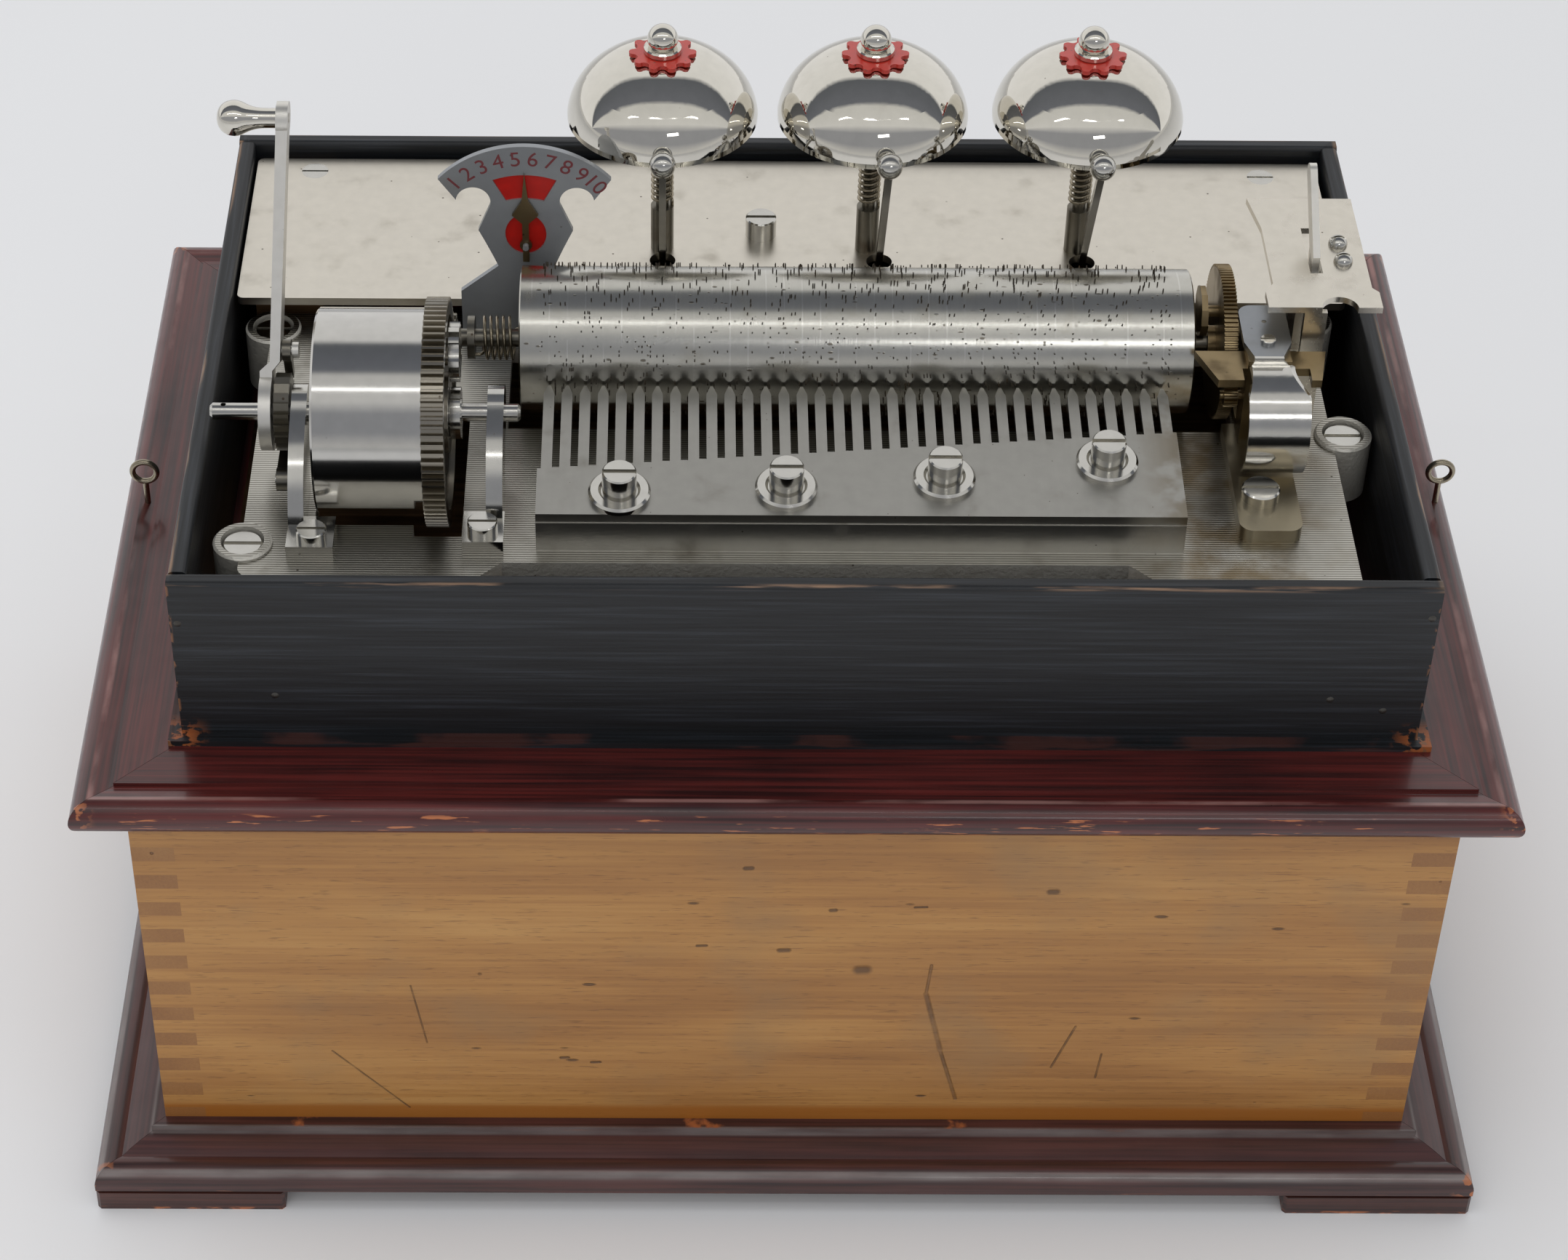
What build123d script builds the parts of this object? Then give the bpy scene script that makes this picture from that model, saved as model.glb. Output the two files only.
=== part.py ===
from build123d import *
import os
from math import atan2, cos, degrees, hypot, pi, radians, sin, sqrt

os.makedirs("parts", exist_ok=True)

# A cylinder music box with three bells in a dovetailed pine case, lid off.
# Millimetres. X is right, Y is away from the viewer, Z is up.
# The origin is on the table under the middle of the case.

# ---- shared clearances ----
RUN = 0.05  # radial play of a shaft in its hole
APART = 0.3  # least space between two moving bodies
MITRE_GAP = 0.05  # half the hairline left open in a mitre
SAME_WAY = 1e-9  # below this two directions count as one

# ---- shared shapes of teeth and screw heads ----
ADDENDUM = 0.85  # height of a tooth over the pitch circle, in modules
DEDENDUM = 1.15  # depth of a tooth space below it, in modules
TOOTH_TIP = 0.13  # half width of a tooth at its tip, in tooth steps
TOOTH_ROOT = 0.31  # half width of a tooth at its root, in tooth steps
HEAD_EDGE = 0.08  # chamfer of a screw head, in head radii
WIRE_POINTS = 600  # points on a spring wire at which its gap is measured

# ---- case ----
CARCASE_X = 291.0
CARCASE_Y = 190.0
CARCASE_H = 111.0
CASE_WALL = 9.5
CORNER_FINGERS = 13
FOOT_X = 44.0
FOOT_Y = 42.0
FOOT_H = 5.5
PLINTH_OUT = 15.5
PLINTH_H = 9.5
PLINTH_EDGE = 2.5  # straight part of the outer edge
PLINTH_ROUND = 0.8
PLINTH_SWELL_OUT = 6.0  # where the swell of the ogee turns into its hollow
PLINTH_SWELL_H = 6.2
PLINTH_HOLLOW_H = 7.6
PLINTH_LEDGE = 3.0
BOTTOM_T = 6.0
SOUND_BOARD_T = 6.0
FLANGE_OUT = 10.5
FLANGE_W = 28.0
BEAD_D = 8.0
QUIRK_W = 1.0
QUIRK_DEEP = 0.8
TRAY_X = (-133.6, 135.6)
TRAY_Y = (-82.0, 89.0)
TRAY_WALL = 4.0
TRAY_TOP = 168.4
TRAY_ROUND = 1.2
STEP_H = 1.5
STEP_OUT = 2.8
EYE_X = (-150.3, 152.9)
EYE_Y = (-0.4, 2.1)
EYE_WIRE_R = 0.7
EYE_RING_R = 2.8
EYE_STALK = 6.0
EYE_SUNK = 6.0

# ---- bedplate ----
BED_TOP = 157.0
BED_T = 4.0
BED_X = (-121.0, 122.0)
BED_Y = (-66.0, 30.0)
BED_RECESS_X = (-64.0, 72.0)
BED_RECESS_DEEP = 5.2
DRUM_HOLE_ROOM = 0.5  # beside the drum
DRUM_HOLE_FRONT = 3.2  # how far the hole stays behind the front of the drum
WHEEL_HOLE_LEFT = 2.7
WHEEL_HOLE_RIGHT = 0.6
WHEEL_HOLE_ROOM = 0.7
CYLINDER_HOLE_LEFT = 3.0
CYLINDER_HOLE_RIGHT = 1.2
CYLINDER_HOLE_HALF = 15.0
LUG_R = 6.5
LUG_H = 1.0
LUG_DEEP = 14.0
PILLAR_R = 3.2
LUG_PLACES = ((-120.6, -54.9), (-120.6, 23.5), (124.6, -15.0), (121.4, 28.0))
LUG_SEAT_R = 4.75
LUG_HEAD_R = 4.4
LUG_HEAD_H = 2.0
LUG_HEAD_SUNK = 0.8
LUG_SLOT = (1.1, 1.0)
LUG_SHANK_R = 2.0
LUG_SHANK = 36.0

# ---- winding arbor, barrel and stop work ----
BARREL_Y = -28.5
BARREL_Z = 173.0
BARREL_TEETH = 80
PINION_TEETH = 16
ARBOR_TIP_X = -129.0
ARBOR_TIP_R = 1.9
ARBOR_HOLE_R = 0.6
ARBOR_HOLE_IN = 3.0
ARBOR_NECK_X = -114.4
ARBOR_NECK_R = 2.2
ARBOR_CORE_X = (-106.8, -73.5)
ARBOR_CORE_R = 3.0
ARBOR_END_X = -60.6
ARBOR_END_R = 2.0
DRUM_X = (-105.0, -81.1)
DRUM_R = 23.0
DRUM_WALL = 1.5
DRUM_EDGE = 0.5
WHEEL_X = (-81.1, -76.2)
GREAT_HUB_R = 9.0
GREAT_DISH = 0.9
RATCHET_X = (-114.3, -111.0)
RATCHET_R = 8.6
RATCHET_ROOT_R = 7.4
RATCHET_TEETH = 22
STOP_X = (-76.0, -73.7)
STAR_AWAY = 14.0
STAR_ANGLE = 72.0
STAR_R = 6.6
STAR_ARMS = 5
STAR_SCOOP_R = 3.4
STAR_SCOOP_AT = 9.0
STAR_SLOT_W = 1.4
STAR_SLOT_IN = 3.2
STAR_STUD_R = 1.5
FINGER_DISC_R = 5.6
FINGER_W = 1.8
FINGER_ROUND = 0.8
FINGER_CLEAR = 0.2
SPRING_STRIP = 0.5
SPRING_IN_R = 6.0
SPRING_TURNS = 9

# ---- cocks ----
LEFT_COCK_X = (-110.6, -107.2)
LEFT_FOOT_X = (-110.6, -100.4)
RIGHT_COCK_X = (-67.7, -64.1)
RIGHT_FOOT_X = (-72.6, -63.7)
COCK_HEAD_R = 6.2
COCK_FOOT_H = 4.2
LEFT_FOOT_Y = (-61.0, -50.5)
RIGHT_FOOT_Y = (-59.0, -48.5)
COCK_BACK_Y = -36.5
LEG_BULGE = 3.0
COCK_NECK_BACK = 2.0  # how far the leg meets the head in front of its centre
COCK_NECK_IN = 1.0  # and inside its outline
COCK_SCREWS = ((-105.2, -57.2), (-68.3, -54.4))
LEG_FRONT_Y = (-53.4, -50.9)
MOVEMENT_HEAD_R = 3.3
MOVEMENT_HEAD_H = 2.2
MOVEMENT_SLOT = (0.8, 0.9)
MOVEMENT_SHANK_R = 1.4
CLICK_Y = -40.0
CLICK_Z = 163.0
CLICK_HUB_R = 2.6
CLICK_STUD_R = 1.2
CLICK_NOSE_ANGLE = -105.0
CLICK_ARM_W = 1.9
PAWL_CLEAR = 0.2

# ---- winding lever ----
LEVER_LEAN = 32.0
LEVER_LONG = 64.0
LEVER_RING_R = 8.6
LEVER_RING_X = (-117.6, -114.9)
LEVER_T = 2.2
LEVER_CRANK_U = (9.2, 11.2)
LEVER_CRANK_X = -115.4
LEVER_TOP_X = -113.4
LEVER_W_LOW = 7.5
LEVER_W_TOP = 5.0
LEVER_EYE_R = 3.7
LEVER_TOP_T = 2.6
PAWL_U = 13.5
PAWL_X = (-112.8, -111.0)
PAWL_HUB_R = 2.4
PAWL_STUD_R = 0.95
PAWL_HEAD_R = 1.8
PAWL_HEAD_T = 1.4
PAWL_NOSE_ANGLE = 52.0
PAWL_ARM_W = 1.6
PAWL_ARM_FRONT = 1.2  # the corner of the arm on the hub, in front of its centre
PAWL_ARM_LOW = 1.0  # and below it
KNOB_STUD_R = 1.2
KNOB_END_X = -126.6
KNOB_NECK_R = 2.2
KNOB_BULB_R = 3.9

# ---- cylinder ----
CYLINDER_Y = 1.3
CYLINDER_Z = 171.4
CYLINDER_X = (-61.5, 89.3)
CYLINDER_R = 16.4
CYLINDER_SKIN = 1.2
CAP_LEFT_T = 4.2
CAP_RIGHT_T = 2.0
CYLINDER_SHIFT = 1.8
SHAFT_R = 2.05
SHAFT_X = (-83.4, 99.4)
SHAFT_PIVOT_R = 1.6
SHAFT_PIVOT_X = (-88.2, 104.6)
COLLAR_X = (-73.6, -72.0)
COLLAR_R = 5.0
RETURN_WIRE_R = 0.35
RETURN_COIL_R = 4.75
RETURN_TURNS = 5
RETURN_TURN_IN = 40.0  # degrees in which the straight end turns into the coil
COIL_RISE_IN = 1.0  # height in which it does so, for all springs
RETURN_RECESS_R = 5.7
RETURN_RECESS_DEEP = 2.1
CYL_WHEEL_X = (95.6, 98.6)
CYL_WHEEL_HUB_X = 93.9
CYL_WHEEL_HUB_R = 5.0
CYL_WHEEL_TEETH = 105
CYL_WHEEL_WEB = 1.4
CYL_WHEEL_RIM = 3.0
SNAIL_X = 91.4
SNAIL_R = 5.9
SNAIL_T = 0.8
SNAIL_STEP = 0.14
SNAIL_UP = 8.6
SNAIL_STUD_R = 1.3
TUNES = 10
BEARING_LEFT_X = (-87.0, -84.0)
BEARING_RIGHT_X = (100.2, 103.4)
BEARING_HEAD_R = 5.6
BEARING_FOOT_H = 3.4
BEARING_LEFT_FOOT = -96.0
BEARING_RIGHT_FOOT = 112.0
BEARING_SCREW_IN = 4.4

# ---- comb ----
COMB_X = (-56.7, 84.2)
COMB_TIP_Y = -16.0
COMB_TIP_Z = 171.0
COMB_FRONT_Y = -56.7
COMB_FRONT_Z = 167.2
COMB_TEETH = 35
COMB_T = 2.5
TOOTH_T = 1.2
TOOTH_LONG = 26.6
TOOTH_SHORT = 14.2
SLOT_W = 1.63
TIP_TAPER = 2.6
TIP_W = 0.6
COMB_HOLE_R = 1.8
COMB_PLACES = ((-38.6, -50.4), (-2.4, -48.7), (32.1, -45.5), (68.0, -40.1))
WASHER_R = 6.8
WASHER_T = 1.5
WASHER_DISH_R = 4.6
WASHER_DISH = 0.6
COMB_HEAD_R = 3.75
COMB_HEAD_H = 6.0
COMB_SCREW_SLOT = (1.1, 1.4)
COMB_SHANK = 9.0
BASE_BACK = 2.0  # how far the teeth roots overhang the base

# ---- deck, bells and hammers ----
DECK_TOP = 165.0
DECK_T = 2.0
DECK_X = (-128.8, 130.0)
DECK_Y = (25.0, 83.0)
DECK_CORNER = 1.5
DECK_SCREWS = ((-114.6, 77.7), (116.1, 77.3))
DECK_SCREW_R = 3.2
DECK_SHANK_R = 1.6
DECK_SHANK = 12.0
TALL_SCREW = (-6.3, 52.0)
TALL_HEAD_R = 3.65
TALL_HEAD_H = 5.0
TALL_SLOT = (1.0, 1.2)
BLOCK_X = ((-126.0, -110.0), (110.0, 126.0))
BLOCK_Y = (36.0, 84.0)
BELL_X = (-29.8, 18.7, 68.3)
BELL_Y = 46.5
BELL_RIM_Z = 202.0
BELL_R = 22.0
BELL_H = 16.0
BELL_LIP = 1.3
BELL_T = 1.2
BELL_SHOULDER = (17.5, 10.2)  # from the post and from the rim
BELL_CROWN_R = 3.4
POST_R = 1.5
POST_SLEEVE_R = 2.7
POST_SLEEVE_H = 12.0
POST_COLLAR_R = 3.0
POST_COLLAR_H = 2.4
BELL_WIRE_R = 0.4
BELL_COIL_R = 2.3
BELL_COIL_PITCH = 1.6
BELL_COIL_TURNS = 14
BELL_TURN_IN = 60.0
RED_WASHER_R = 6.6
RED_WASHER_T = 1.0
RED_LOBES = 10
RED_LOBE_R = 1.1
NUT_COLLAR_R = 4.3
NUT_COLLAR_H = 1.6
NUT_BALL_R = 3.55
HAMMER_X = (-29.7, 21.5, 69.5)
HAMMER_PIVOT_Y = 49.1
HAMMER_PIVOT_Z = 150.0
HAMMER_BALL_Y = 21.3
HAMMER_BALL_Z = 205.0
HAMMER_BALL_R = 3.0
HAMMER_HUB_R = 3.0
HAMMER_HUB_W = 4.0
HAMMER_STEM = (1.6, 1.8)
HAMMER_TAIL = 7.0
HAMMER_HOLE_R = 3.05
HAMMER_HOLE_Y = 40.9
RAIL_R = 1.5
RAIL_X = (-50.0, 88.0)
RAIL_POST_X = 4.0
RAIL_POST_Y = 8.0

# ---- governor ----
GOV_ARBOR_Y = -18.5
GOV_ARBOR_Z = 171.4
GOV_ARBOR_X = (94.8, 110.2)
GOV_ARBOR_R = 1.0
GOV_PINION_TEETH = 15
WORM_WHEEL_X = (103.2, 105.4)
WORM_WHEEL_R = 6.9
WORM_WHEEL_TEETH = 30
WORM_X = 104.3
WORM_Y = -9.5
WORM_R = 1.8
WORM_Z = (164.5, 176.4)
WORM_SHAFT_R = 0.9
WORM_PIVOT_R = 0.5
FLY_SPAN = 10.0
FLY_T = 0.8
FLY_Z = (177.0, 182.8)
GOV_FOOT_X = (96.8, 110.6)
GOV_FOOT_Y = (-53.0, -15.0)
GOV_FOOT_H = 3.5
GOV_FOOT_ROUND = 3.0
CHEEK_LEFT_X = (99.6, 101.6)
CHEEK_RIGHT_X = (107.2, 109.2)
CHEEK_Y = (-22.4, -16.0)
CHEEK_TOP = 183.5
SHELF_BACK_Y = -5.0
SHELF_T = 2.0
BRIDGE_Y = (-22.4, -15.0)
BRIDGE_Z = 179.6
WING_T = 2.0
WING_FRONT_Y = -26.6
WING_BACK_Y = -16.0
LEFT_WING_X = (88.6, 92.7, 98.4)  # back corner, front corner and inner edge
RIGHT_WING_X = (117.6, 115.5, 113.3)
ENDSTONE_TOP = 185.0
ENDSTONE_X = (99.0, 109.5)
ENDSTONE_Y = (-22.4, -3.4)
ENDSTONE_NECK_X = (100.7, 107.2)
ENDSTONE_SHOULDER_Y = -17.2
ENDSTONE_SCREW_Y = -17.0
ENDSTONE_HEAD_R = 1.7
ENDSTONE_HEAD_H = 0.9
ENDSTONE_SLOT = (0.5, 0.4)
GUARD_X = (99.0, 112.6)
GUARD_T = 0.8
GUARD_FOLD_Z = 182.6  # below this the strip leaves the bridge
GUARD_BELLY = (-36.4, 171.5)
GUARD_END = (-33.2, 161.4)
GUARD_NECK_Z = 184.0
GUARD_SHOULDER_Z = 180.4
GOV_SCREW = (102.4, -41.0)
GOV_HEAD_R = 4.2
GOV_HEAD_H = 2.6
GOV_SLOT = (1.0, 1.1)

# ---- control plate and stop lever ----
CONTROL_TOP = 191.0
CONTROL_T = 1.5
CONTROL_LEFT_X = 104.4
CONTROL_RIGHT_X = 128.3
CONTROL_FRONT_X = 129.7  # right end of the flared front edge
CONTROL_WAIST_X = 106.4
CONTROL_Y = (-12.4, 30.0)
CONTROL_WAIST_Y = (-3.4, 18.0)
CONTROL_FLARE_Y = -6.5
CONTROL_ARCH_R = 4.0
CONTROL_SLOT_X = (115.3, 118.1)
CONTROL_SLOT_Y = (0.6, 18.1)
CONTROL_LEG_FRONT_X = (112.6, 117.6)
CONTROL_LEG_BACK_X = (118.4, 121.8)
CONTROL_LEG_BACK_Y = 18.7
CONTROL_TAB_X = (113.4, 115.2)
CONTROL_TAB_Y = (1.5, 10.0)
CONTROL_TAB_Z = 169.0
CONTROL_SCREWS = ((122.9, 11.9), (123.2, 5.1))
CONTROL_HEAD_R = 2.2
CONTROL_SLOT_DEEP = 0.9
STOP_LEVER_X = (115.9, 117.5)
STOP_PIVOT_Y = 5.0
STOP_PIVOT_Z = 174.0
STOP_PIVOT_R = 1.3
STOP_HUB_R = 3.4
STOP_LEVER_LEAN = 1.5  # how far above the plate the lever bends back
STOP_LEVER_W = 4.4
STOP_LEVER_END = (20.5, 204.5)

# ---- tune indicator ----
DIAL_X = -60.9
DIAL_Y = 22.0
DIAL_T = 1.4
DIAL_ARC_TOP = 209.2
DIAL_END = (19.6, 200.4)
DIAL_UNDER = (15.7, 194.8)
DIAL_SCOOP_TOP = (10.5, 198.0)
DIAL_SCOOP_SIDE = (8.0, 193.2)
DIAL_EAR = (10.8, 186.5)
DIAL_HOLLOW = (8.4, 181.2)
DIAL_NECK = (6.5, 176.6)
DIAL_FOOT = (15.3, 169.4)
DIAL_RED_DEEP = 0.5
DIAL_WINDOW = ((7.3, 200.2), (4.3, 194.5))
DIAL_WINDOW_BOW = (201.6, 195.1)  # how high its top and bottom edges rise at the middle
DIAL_OVAL = (4.7, 5.5)
DIAL_OVAL_Z = 185.5
POINTER_PIVOT_Z = 183.0
POINTER_TOP_Z = 202.7
POINTER_TAIL_Z = 178.5
POINTER_W = 1.5
POINTER_SPADE = (3.0, 191.3)
POINTER_SPADE_Z = (189.0, 195.1)
POINTER_T = 0.8
POINTER_STUD_R = 0.7

# ---- values that follow ----
case_top = FOOT_H + CARCASE_H
flange_top = case_top + BEAD_D
step_top = flange_top + STEP_H
inner_x = CARCASE_X - 2 * CASE_WALL
inner_y = CARCASE_Y - 2 * CASE_WALL
plinth_x = CARCASE_X + 2 * PLINTH_OUT
plinth_y = CARCASE_Y + 2 * PLINTH_OUT
flange_x = CARCASE_X + 2 * FLANGE_OUT
flange_y = CARCASE_Y + 2 * FLANGE_OUT
bed_under = BED_TOP - BED_T
deck_under = DECK_TOP - DECK_T
gear_away = hypot(CYLINDER_Y - BARREL_Y, CYLINDER_Z - BARREL_Z)
gear_angle = degrees(atan2(CYLINDER_Z - BARREL_Z, CYLINDER_Y - BARREL_Y))
drive_module = 2 * gear_away / (BARREL_TEETH + PINION_TEETH)
gov_away = hypot(GOV_ARBOR_Y - CYLINDER_Y, GOV_ARBOR_Z - CYLINDER_Z)
gov_angle = degrees(atan2(GOV_ARBOR_Z - CYLINDER_Z, GOV_ARBOR_Y - CYLINDER_Y))
gov_module = 2 * gov_away / (CYL_WHEEL_TEETH + GOV_PINION_TEETH)
star_y = BARREL_Y + STAR_AWAY * cos(radians(STAR_ANGLE))
star_z = BARREL_Z + STAR_AWAY * sin(radians(STAR_ANGLE))
finger_reach = STAR_AWAY - STAR_R - FINGER_CLEAR
comb_long = hypot(COMB_TIP_Y - COMB_FRONT_Y, COMB_TIP_Z - COMB_FRONT_Z)
comb_slope = atan2(COMB_TIP_Z - COMB_FRONT_Z, COMB_TIP_Y - COMB_FRONT_Y)
tooth_pitch = (COMB_X[1] - COMB_X[0]) / COMB_TEETH
bell_inner_top = BELL_RIM_Z + BELL_H - BELL_T
bell_top = BELL_RIM_Z + BELL_H
hammer_lean = degrees(atan2(HAMMER_PIVOT_Y - HAMMER_BALL_Y, HAMMER_BALL_Z - HAMMER_PIVOT_Z))
hammer_long = hypot(HAMMER_PIVOT_Y - HAMMER_BALL_Y, HAMMER_BALL_Z - HAMMER_PIVOT_Z)


# ---- helpers ----
def block(xs, ys, zs, mode=Mode.ADD):
    """A box between two limits on each axis."""
    with Locations(((xs[0] + xs[1]) / 2, (ys[0] + ys[1]) / 2, (zs[0] + zs[1]) / 2)):
        Box(xs[1] - xs[0], ys[1] - ys[0], zs[1] - zs[0], mode=mode)


def rod_x(xs, y, z, radius, mode=Mode.ADD):
    """A round bar along X between two stations."""
    with Locations(Location(((xs[0] + xs[1]) / 2, y, z), (0, 90, 0))):
        Cylinder(radius, xs[1] - xs[0], mode=mode)


def rod_z(x, y, zs, radius, mode=Mode.ADD):
    """A round bar along Z between two heights."""
    with Locations((x, y, (zs[0] + zs[1]) / 2)):
        Cylinder(radius, zs[1] - zs[0], mode=mode)


def slotted_head(radius, height, slot):
    """A cheese head standing on Z = 0, with its slot along X, given as its width and depth."""
    rod_z(0, 0, (0, height), radius)
    chamfer(edges().filter_by(GeomType.CIRCLE).sort_by(Axis.Z)[-1], radius * HEAD_EDGE)
    block((-radius, radius), (-slot[0] / 2, slot[0] / 2), (height - slot[1], height), Mode.SUBTRACT)


def gear_points(teeth, module, turn):
    """Corners of a spur wheel with a tooth centred on the angle turn."""
    addendum = ADDENDUM * module
    dedendum = DEDENDUM * module
    pitch_r = teeth * module / 2
    step = 360 / teeth
    corners = []
    for tooth in range(teeth):
        middle = turn + tooth * step
        for share, radius in (
            (-TOOTH_ROOT, pitch_r - dedendum),
            (-TOOTH_TIP, pitch_r + addendum),
            (TOOTH_TIP, pitch_r + addendum),
            (TOOTH_ROOT, pitch_r - dedendum),
        ):
            angle = radians(middle + share * step)
            corners.append((radius * cos(angle), radius * sin(angle)))
    return corners


def ratchet_points(teeth, tip_r, root_r):
    """Corners of a saw toothed wheel."""
    corners = []
    for tooth in range(teeth):
        start = radians(tooth * 360 / teeth)
        corners.append((root_r * cos(start), root_r * sin(start)))
        corners.append((tip_r * cos(start), tip_r * sin(start)))
    return corners


def biarc(start, start_way, end, end_way):
    """Two arcs that join two points and keep both directions."""
    gap = end - start
    both = start_way + end_way
    across = gap.dot(both)
    open_share = 2 * (1 - start_way.dot(end_way))
    if open_share < SAME_WAY:
        reach = gap.dot(gap) / (4 * gap.dot(end_way))
    else:
        reach = (sqrt(across * across + open_share * gap.dot(gap)) - across) / open_share
    middle = (start + end + (start_way - end_way) * reach) / 2
    TangentArc(start, middle, tangent=start_way)
    TangentArc(middle, end, tangent=-end_way, tangent_from_first=False)


def coil_stations(coil_r, pitch, turns, tail, turn_in, rise_in):
    """Points and directions along a coil about Z that starts and ends straight along Z."""
    up = Vector(0, 0, 1)
    climb = pitch / (2 * pi * coil_r)
    stations = [(Vector(coil_r, 0, 0), up), (Vector(coil_r, 0, tail), up)]
    halves = int(2 * turns)
    for half in range(halves + 1):
        angle = radians(turn_in) + half * pi
        height = tail + rise_in + half * pitch / 2
        way = Vector(-sin(angle), cos(angle), climb).normalized()
        stations.append((Vector(coil_r * cos(angle), coil_r * sin(angle), height), way))
    last = radians(2 * turn_in) + halves * pi
    top = 2 * tail + 2 * rise_in + halves * pitch / 2
    stations.append((Vector(coil_r * cos(last), coil_r * sin(last), top - tail), up))
    stations.append((Vector(coil_r * cos(last), coil_r * sin(last), top), up))
    return stations


def wound_wire(stations, wire_r, turns):
    """One unbroken round wire through the stations, straight at both ends, and its least gap."""
    with BuildPart() as wire:
        with BuildLine() as path:
            Line(stations[0][0], stations[1][0])
            for here, following in zip(stations[1:-2], stations[2:-1]):
                biarc(here[0], here[1], following[0], following[1])
            Line(stations[-2][0], stations[-1][0])
        with BuildSketch(Plane(origin=stations[0][0], z_dir=-stations[0][1])):
            Circle(wire_r)
        sweep(path=path.wire())
    centre_line = path.wire()
    points = [centre_line @ (index / WIRE_POINTS) for index in range(WIRE_POINTS + 1)]
    half_turn = int(WIRE_POINTS / turns / 2)
    nearest = min(
        (first - second).length
        for index, first in enumerate(points)
        for second in points[index + half_turn :]
    )
    return wire.part, nearest - 2 * wire_r


def mitred_strip(profile, length, depth):
    """One moulding along Y with its outer edge on X = 0, mitred at both ends."""
    with BuildPart() as strip:
        with Locations((0, length / 2, 0)):
            add(profile)
        extrude(amount=length, dir=(0, -1, 0))
        with BuildSketch():
            Polygon(
                (0, MITRE_GAP - length / 2),
                (0, length / 2 - MITRE_GAP),
                (-depth, length / 2 - MITRE_GAP - depth),
                (-depth, MITRE_GAP + depth - length / 2),
            )
        extrude(amount=step_top, mode=Mode.INTERSECT)
    return strip.part


def mitred_frame(long_strip, short_strip, outer_x, outer_y):
    """Two long and two short mouldings round a rectangle, added to the part being built."""
    with PolarLocations(outer_y / 2, 2, start_angle=90):
        add(long_strip)
    with PolarLocations(outer_x / 2, 2):
        add(short_strip)


# ---- case: feet, carcase and bottom ----
foot_at_x = (plinth_x - FOOT_X) / 2
foot_at_y = (plinth_y - FOOT_Y) / 2
with BuildPart() as feet:
    with Locations((0, 0, FOOT_H / 2)):
        with GridLocations(2 * foot_at_x, 2 * foot_at_y, 2, 2):
            Box(FOOT_X, FOOT_Y, FOOT_H)
    chamfer(feet.edges().filter_by(Axis.Z), PLINTH_ROUND)
feet.part.label = "feet"
export_step(feet.part, "parts/feet.step")

with BuildSketch(Plane.XZ) as plinth_profile:
    with BuildLine():
        Polyline(
            (-PLINTH_OUT + PLINTH_LEDGE, FOOT_H + PLINTH_HOLLOW_H),
            (-PLINTH_OUT + PLINTH_LEDGE, FOOT_H + PLINTH_H),
            (-PLINTH_OUT, FOOT_H + PLINTH_H),
            (-PLINTH_OUT, FOOT_H),
            (-PLINTH_ROUND, FOOT_H),
            (0, FOOT_H + PLINTH_ROUND),
            (0, FOOT_H + PLINTH_EDGE),
        )
        TangentArc((0, FOOT_H + PLINTH_EDGE), (-PLINTH_SWELL_OUT, FOOT_H + PLINTH_SWELL_H), tangent=(0, 1))
        TangentArc(
            (-PLINTH_OUT + PLINTH_LEDGE, FOOT_H + PLINTH_HOLLOW_H),
            (-PLINTH_SWELL_OUT, FOOT_H + PLINTH_SWELL_H),
            tangent=(1, 0),
        )
    make_face()
plinth_long = mitred_strip(plinth_profile.sketch, plinth_x, PLINTH_OUT)
plinth_short = mitred_strip(plinth_profile.sketch, plinth_y, PLINTH_OUT)
with BuildPart() as plinth_mouldings:
    mitred_frame(plinth_long, plinth_short, plinth_x, plinth_y)
plinth_mouldings.part.label = "plinth_mouldings"
export_step(plinth_mouldings.part, "parts/plinth_mouldings.step")

with BuildPart() as bottom_board:
    block((-inner_x / 2, inner_x / 2), (-inner_y / 2, inner_y / 2), (FOOT_H, FOOT_H + BOTTOM_T))
bottom_board.part.label = "bottom_board"
export_step(bottom_board.part, "parts/bottom_board.step")

finger_step = CARCASE_H / CORNER_FINGERS
front_outer = -CARCASE_Y / 2
front_inner = front_outer + CASE_WALL
with BuildPart() as long_board:
    block((-inner_x / 2, inner_x / 2), (front_outer, front_inner), (FOOT_H, case_top))
    for finger in range(CORNER_FINGERS):
        finger_low = FOOT_H + (finger + 0.5) * finger_step
        finger_z = (finger_low, finger_low + finger_step / 2)
        block((-CARCASE_X / 2, -inner_x / 2), (front_outer, front_inner), finger_z)
        block((inner_x / 2, CARCASE_X / 2), (front_outer, front_inner), finger_z)
with BuildPart() as front_board:
    add(long_board.part)
front_board.part.label = "front_board"
export_step(front_board.part, "parts/front_board.step")
with BuildPart() as back_board:
    add(long_board.part, rotation=(0, 0, 180))
back_board.part.label = "back_board"
export_step(back_board.part, "parts/back_board.step")

with BuildPart() as end_board:
    block((inner_x / 2, CARCASE_X / 2), (-inner_y / 2, inner_y / 2), (FOOT_H, case_top))
    for finger in range(CORNER_FINGERS):
        finger_low = FOOT_H + finger * finger_step
        finger_z = (finger_low, finger_low + finger_step / 2)
        block((inner_x / 2, CARCASE_X / 2), (-CARCASE_Y / 2, CARCASE_Y / 2), finger_z)
with BuildPart() as end_boards:
    with PolarLocations(0, 2):
        add(end_board.part)
end_boards.part.label = "end_boards"
export_step(end_boards.part, "parts/end_boards.step")

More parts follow.
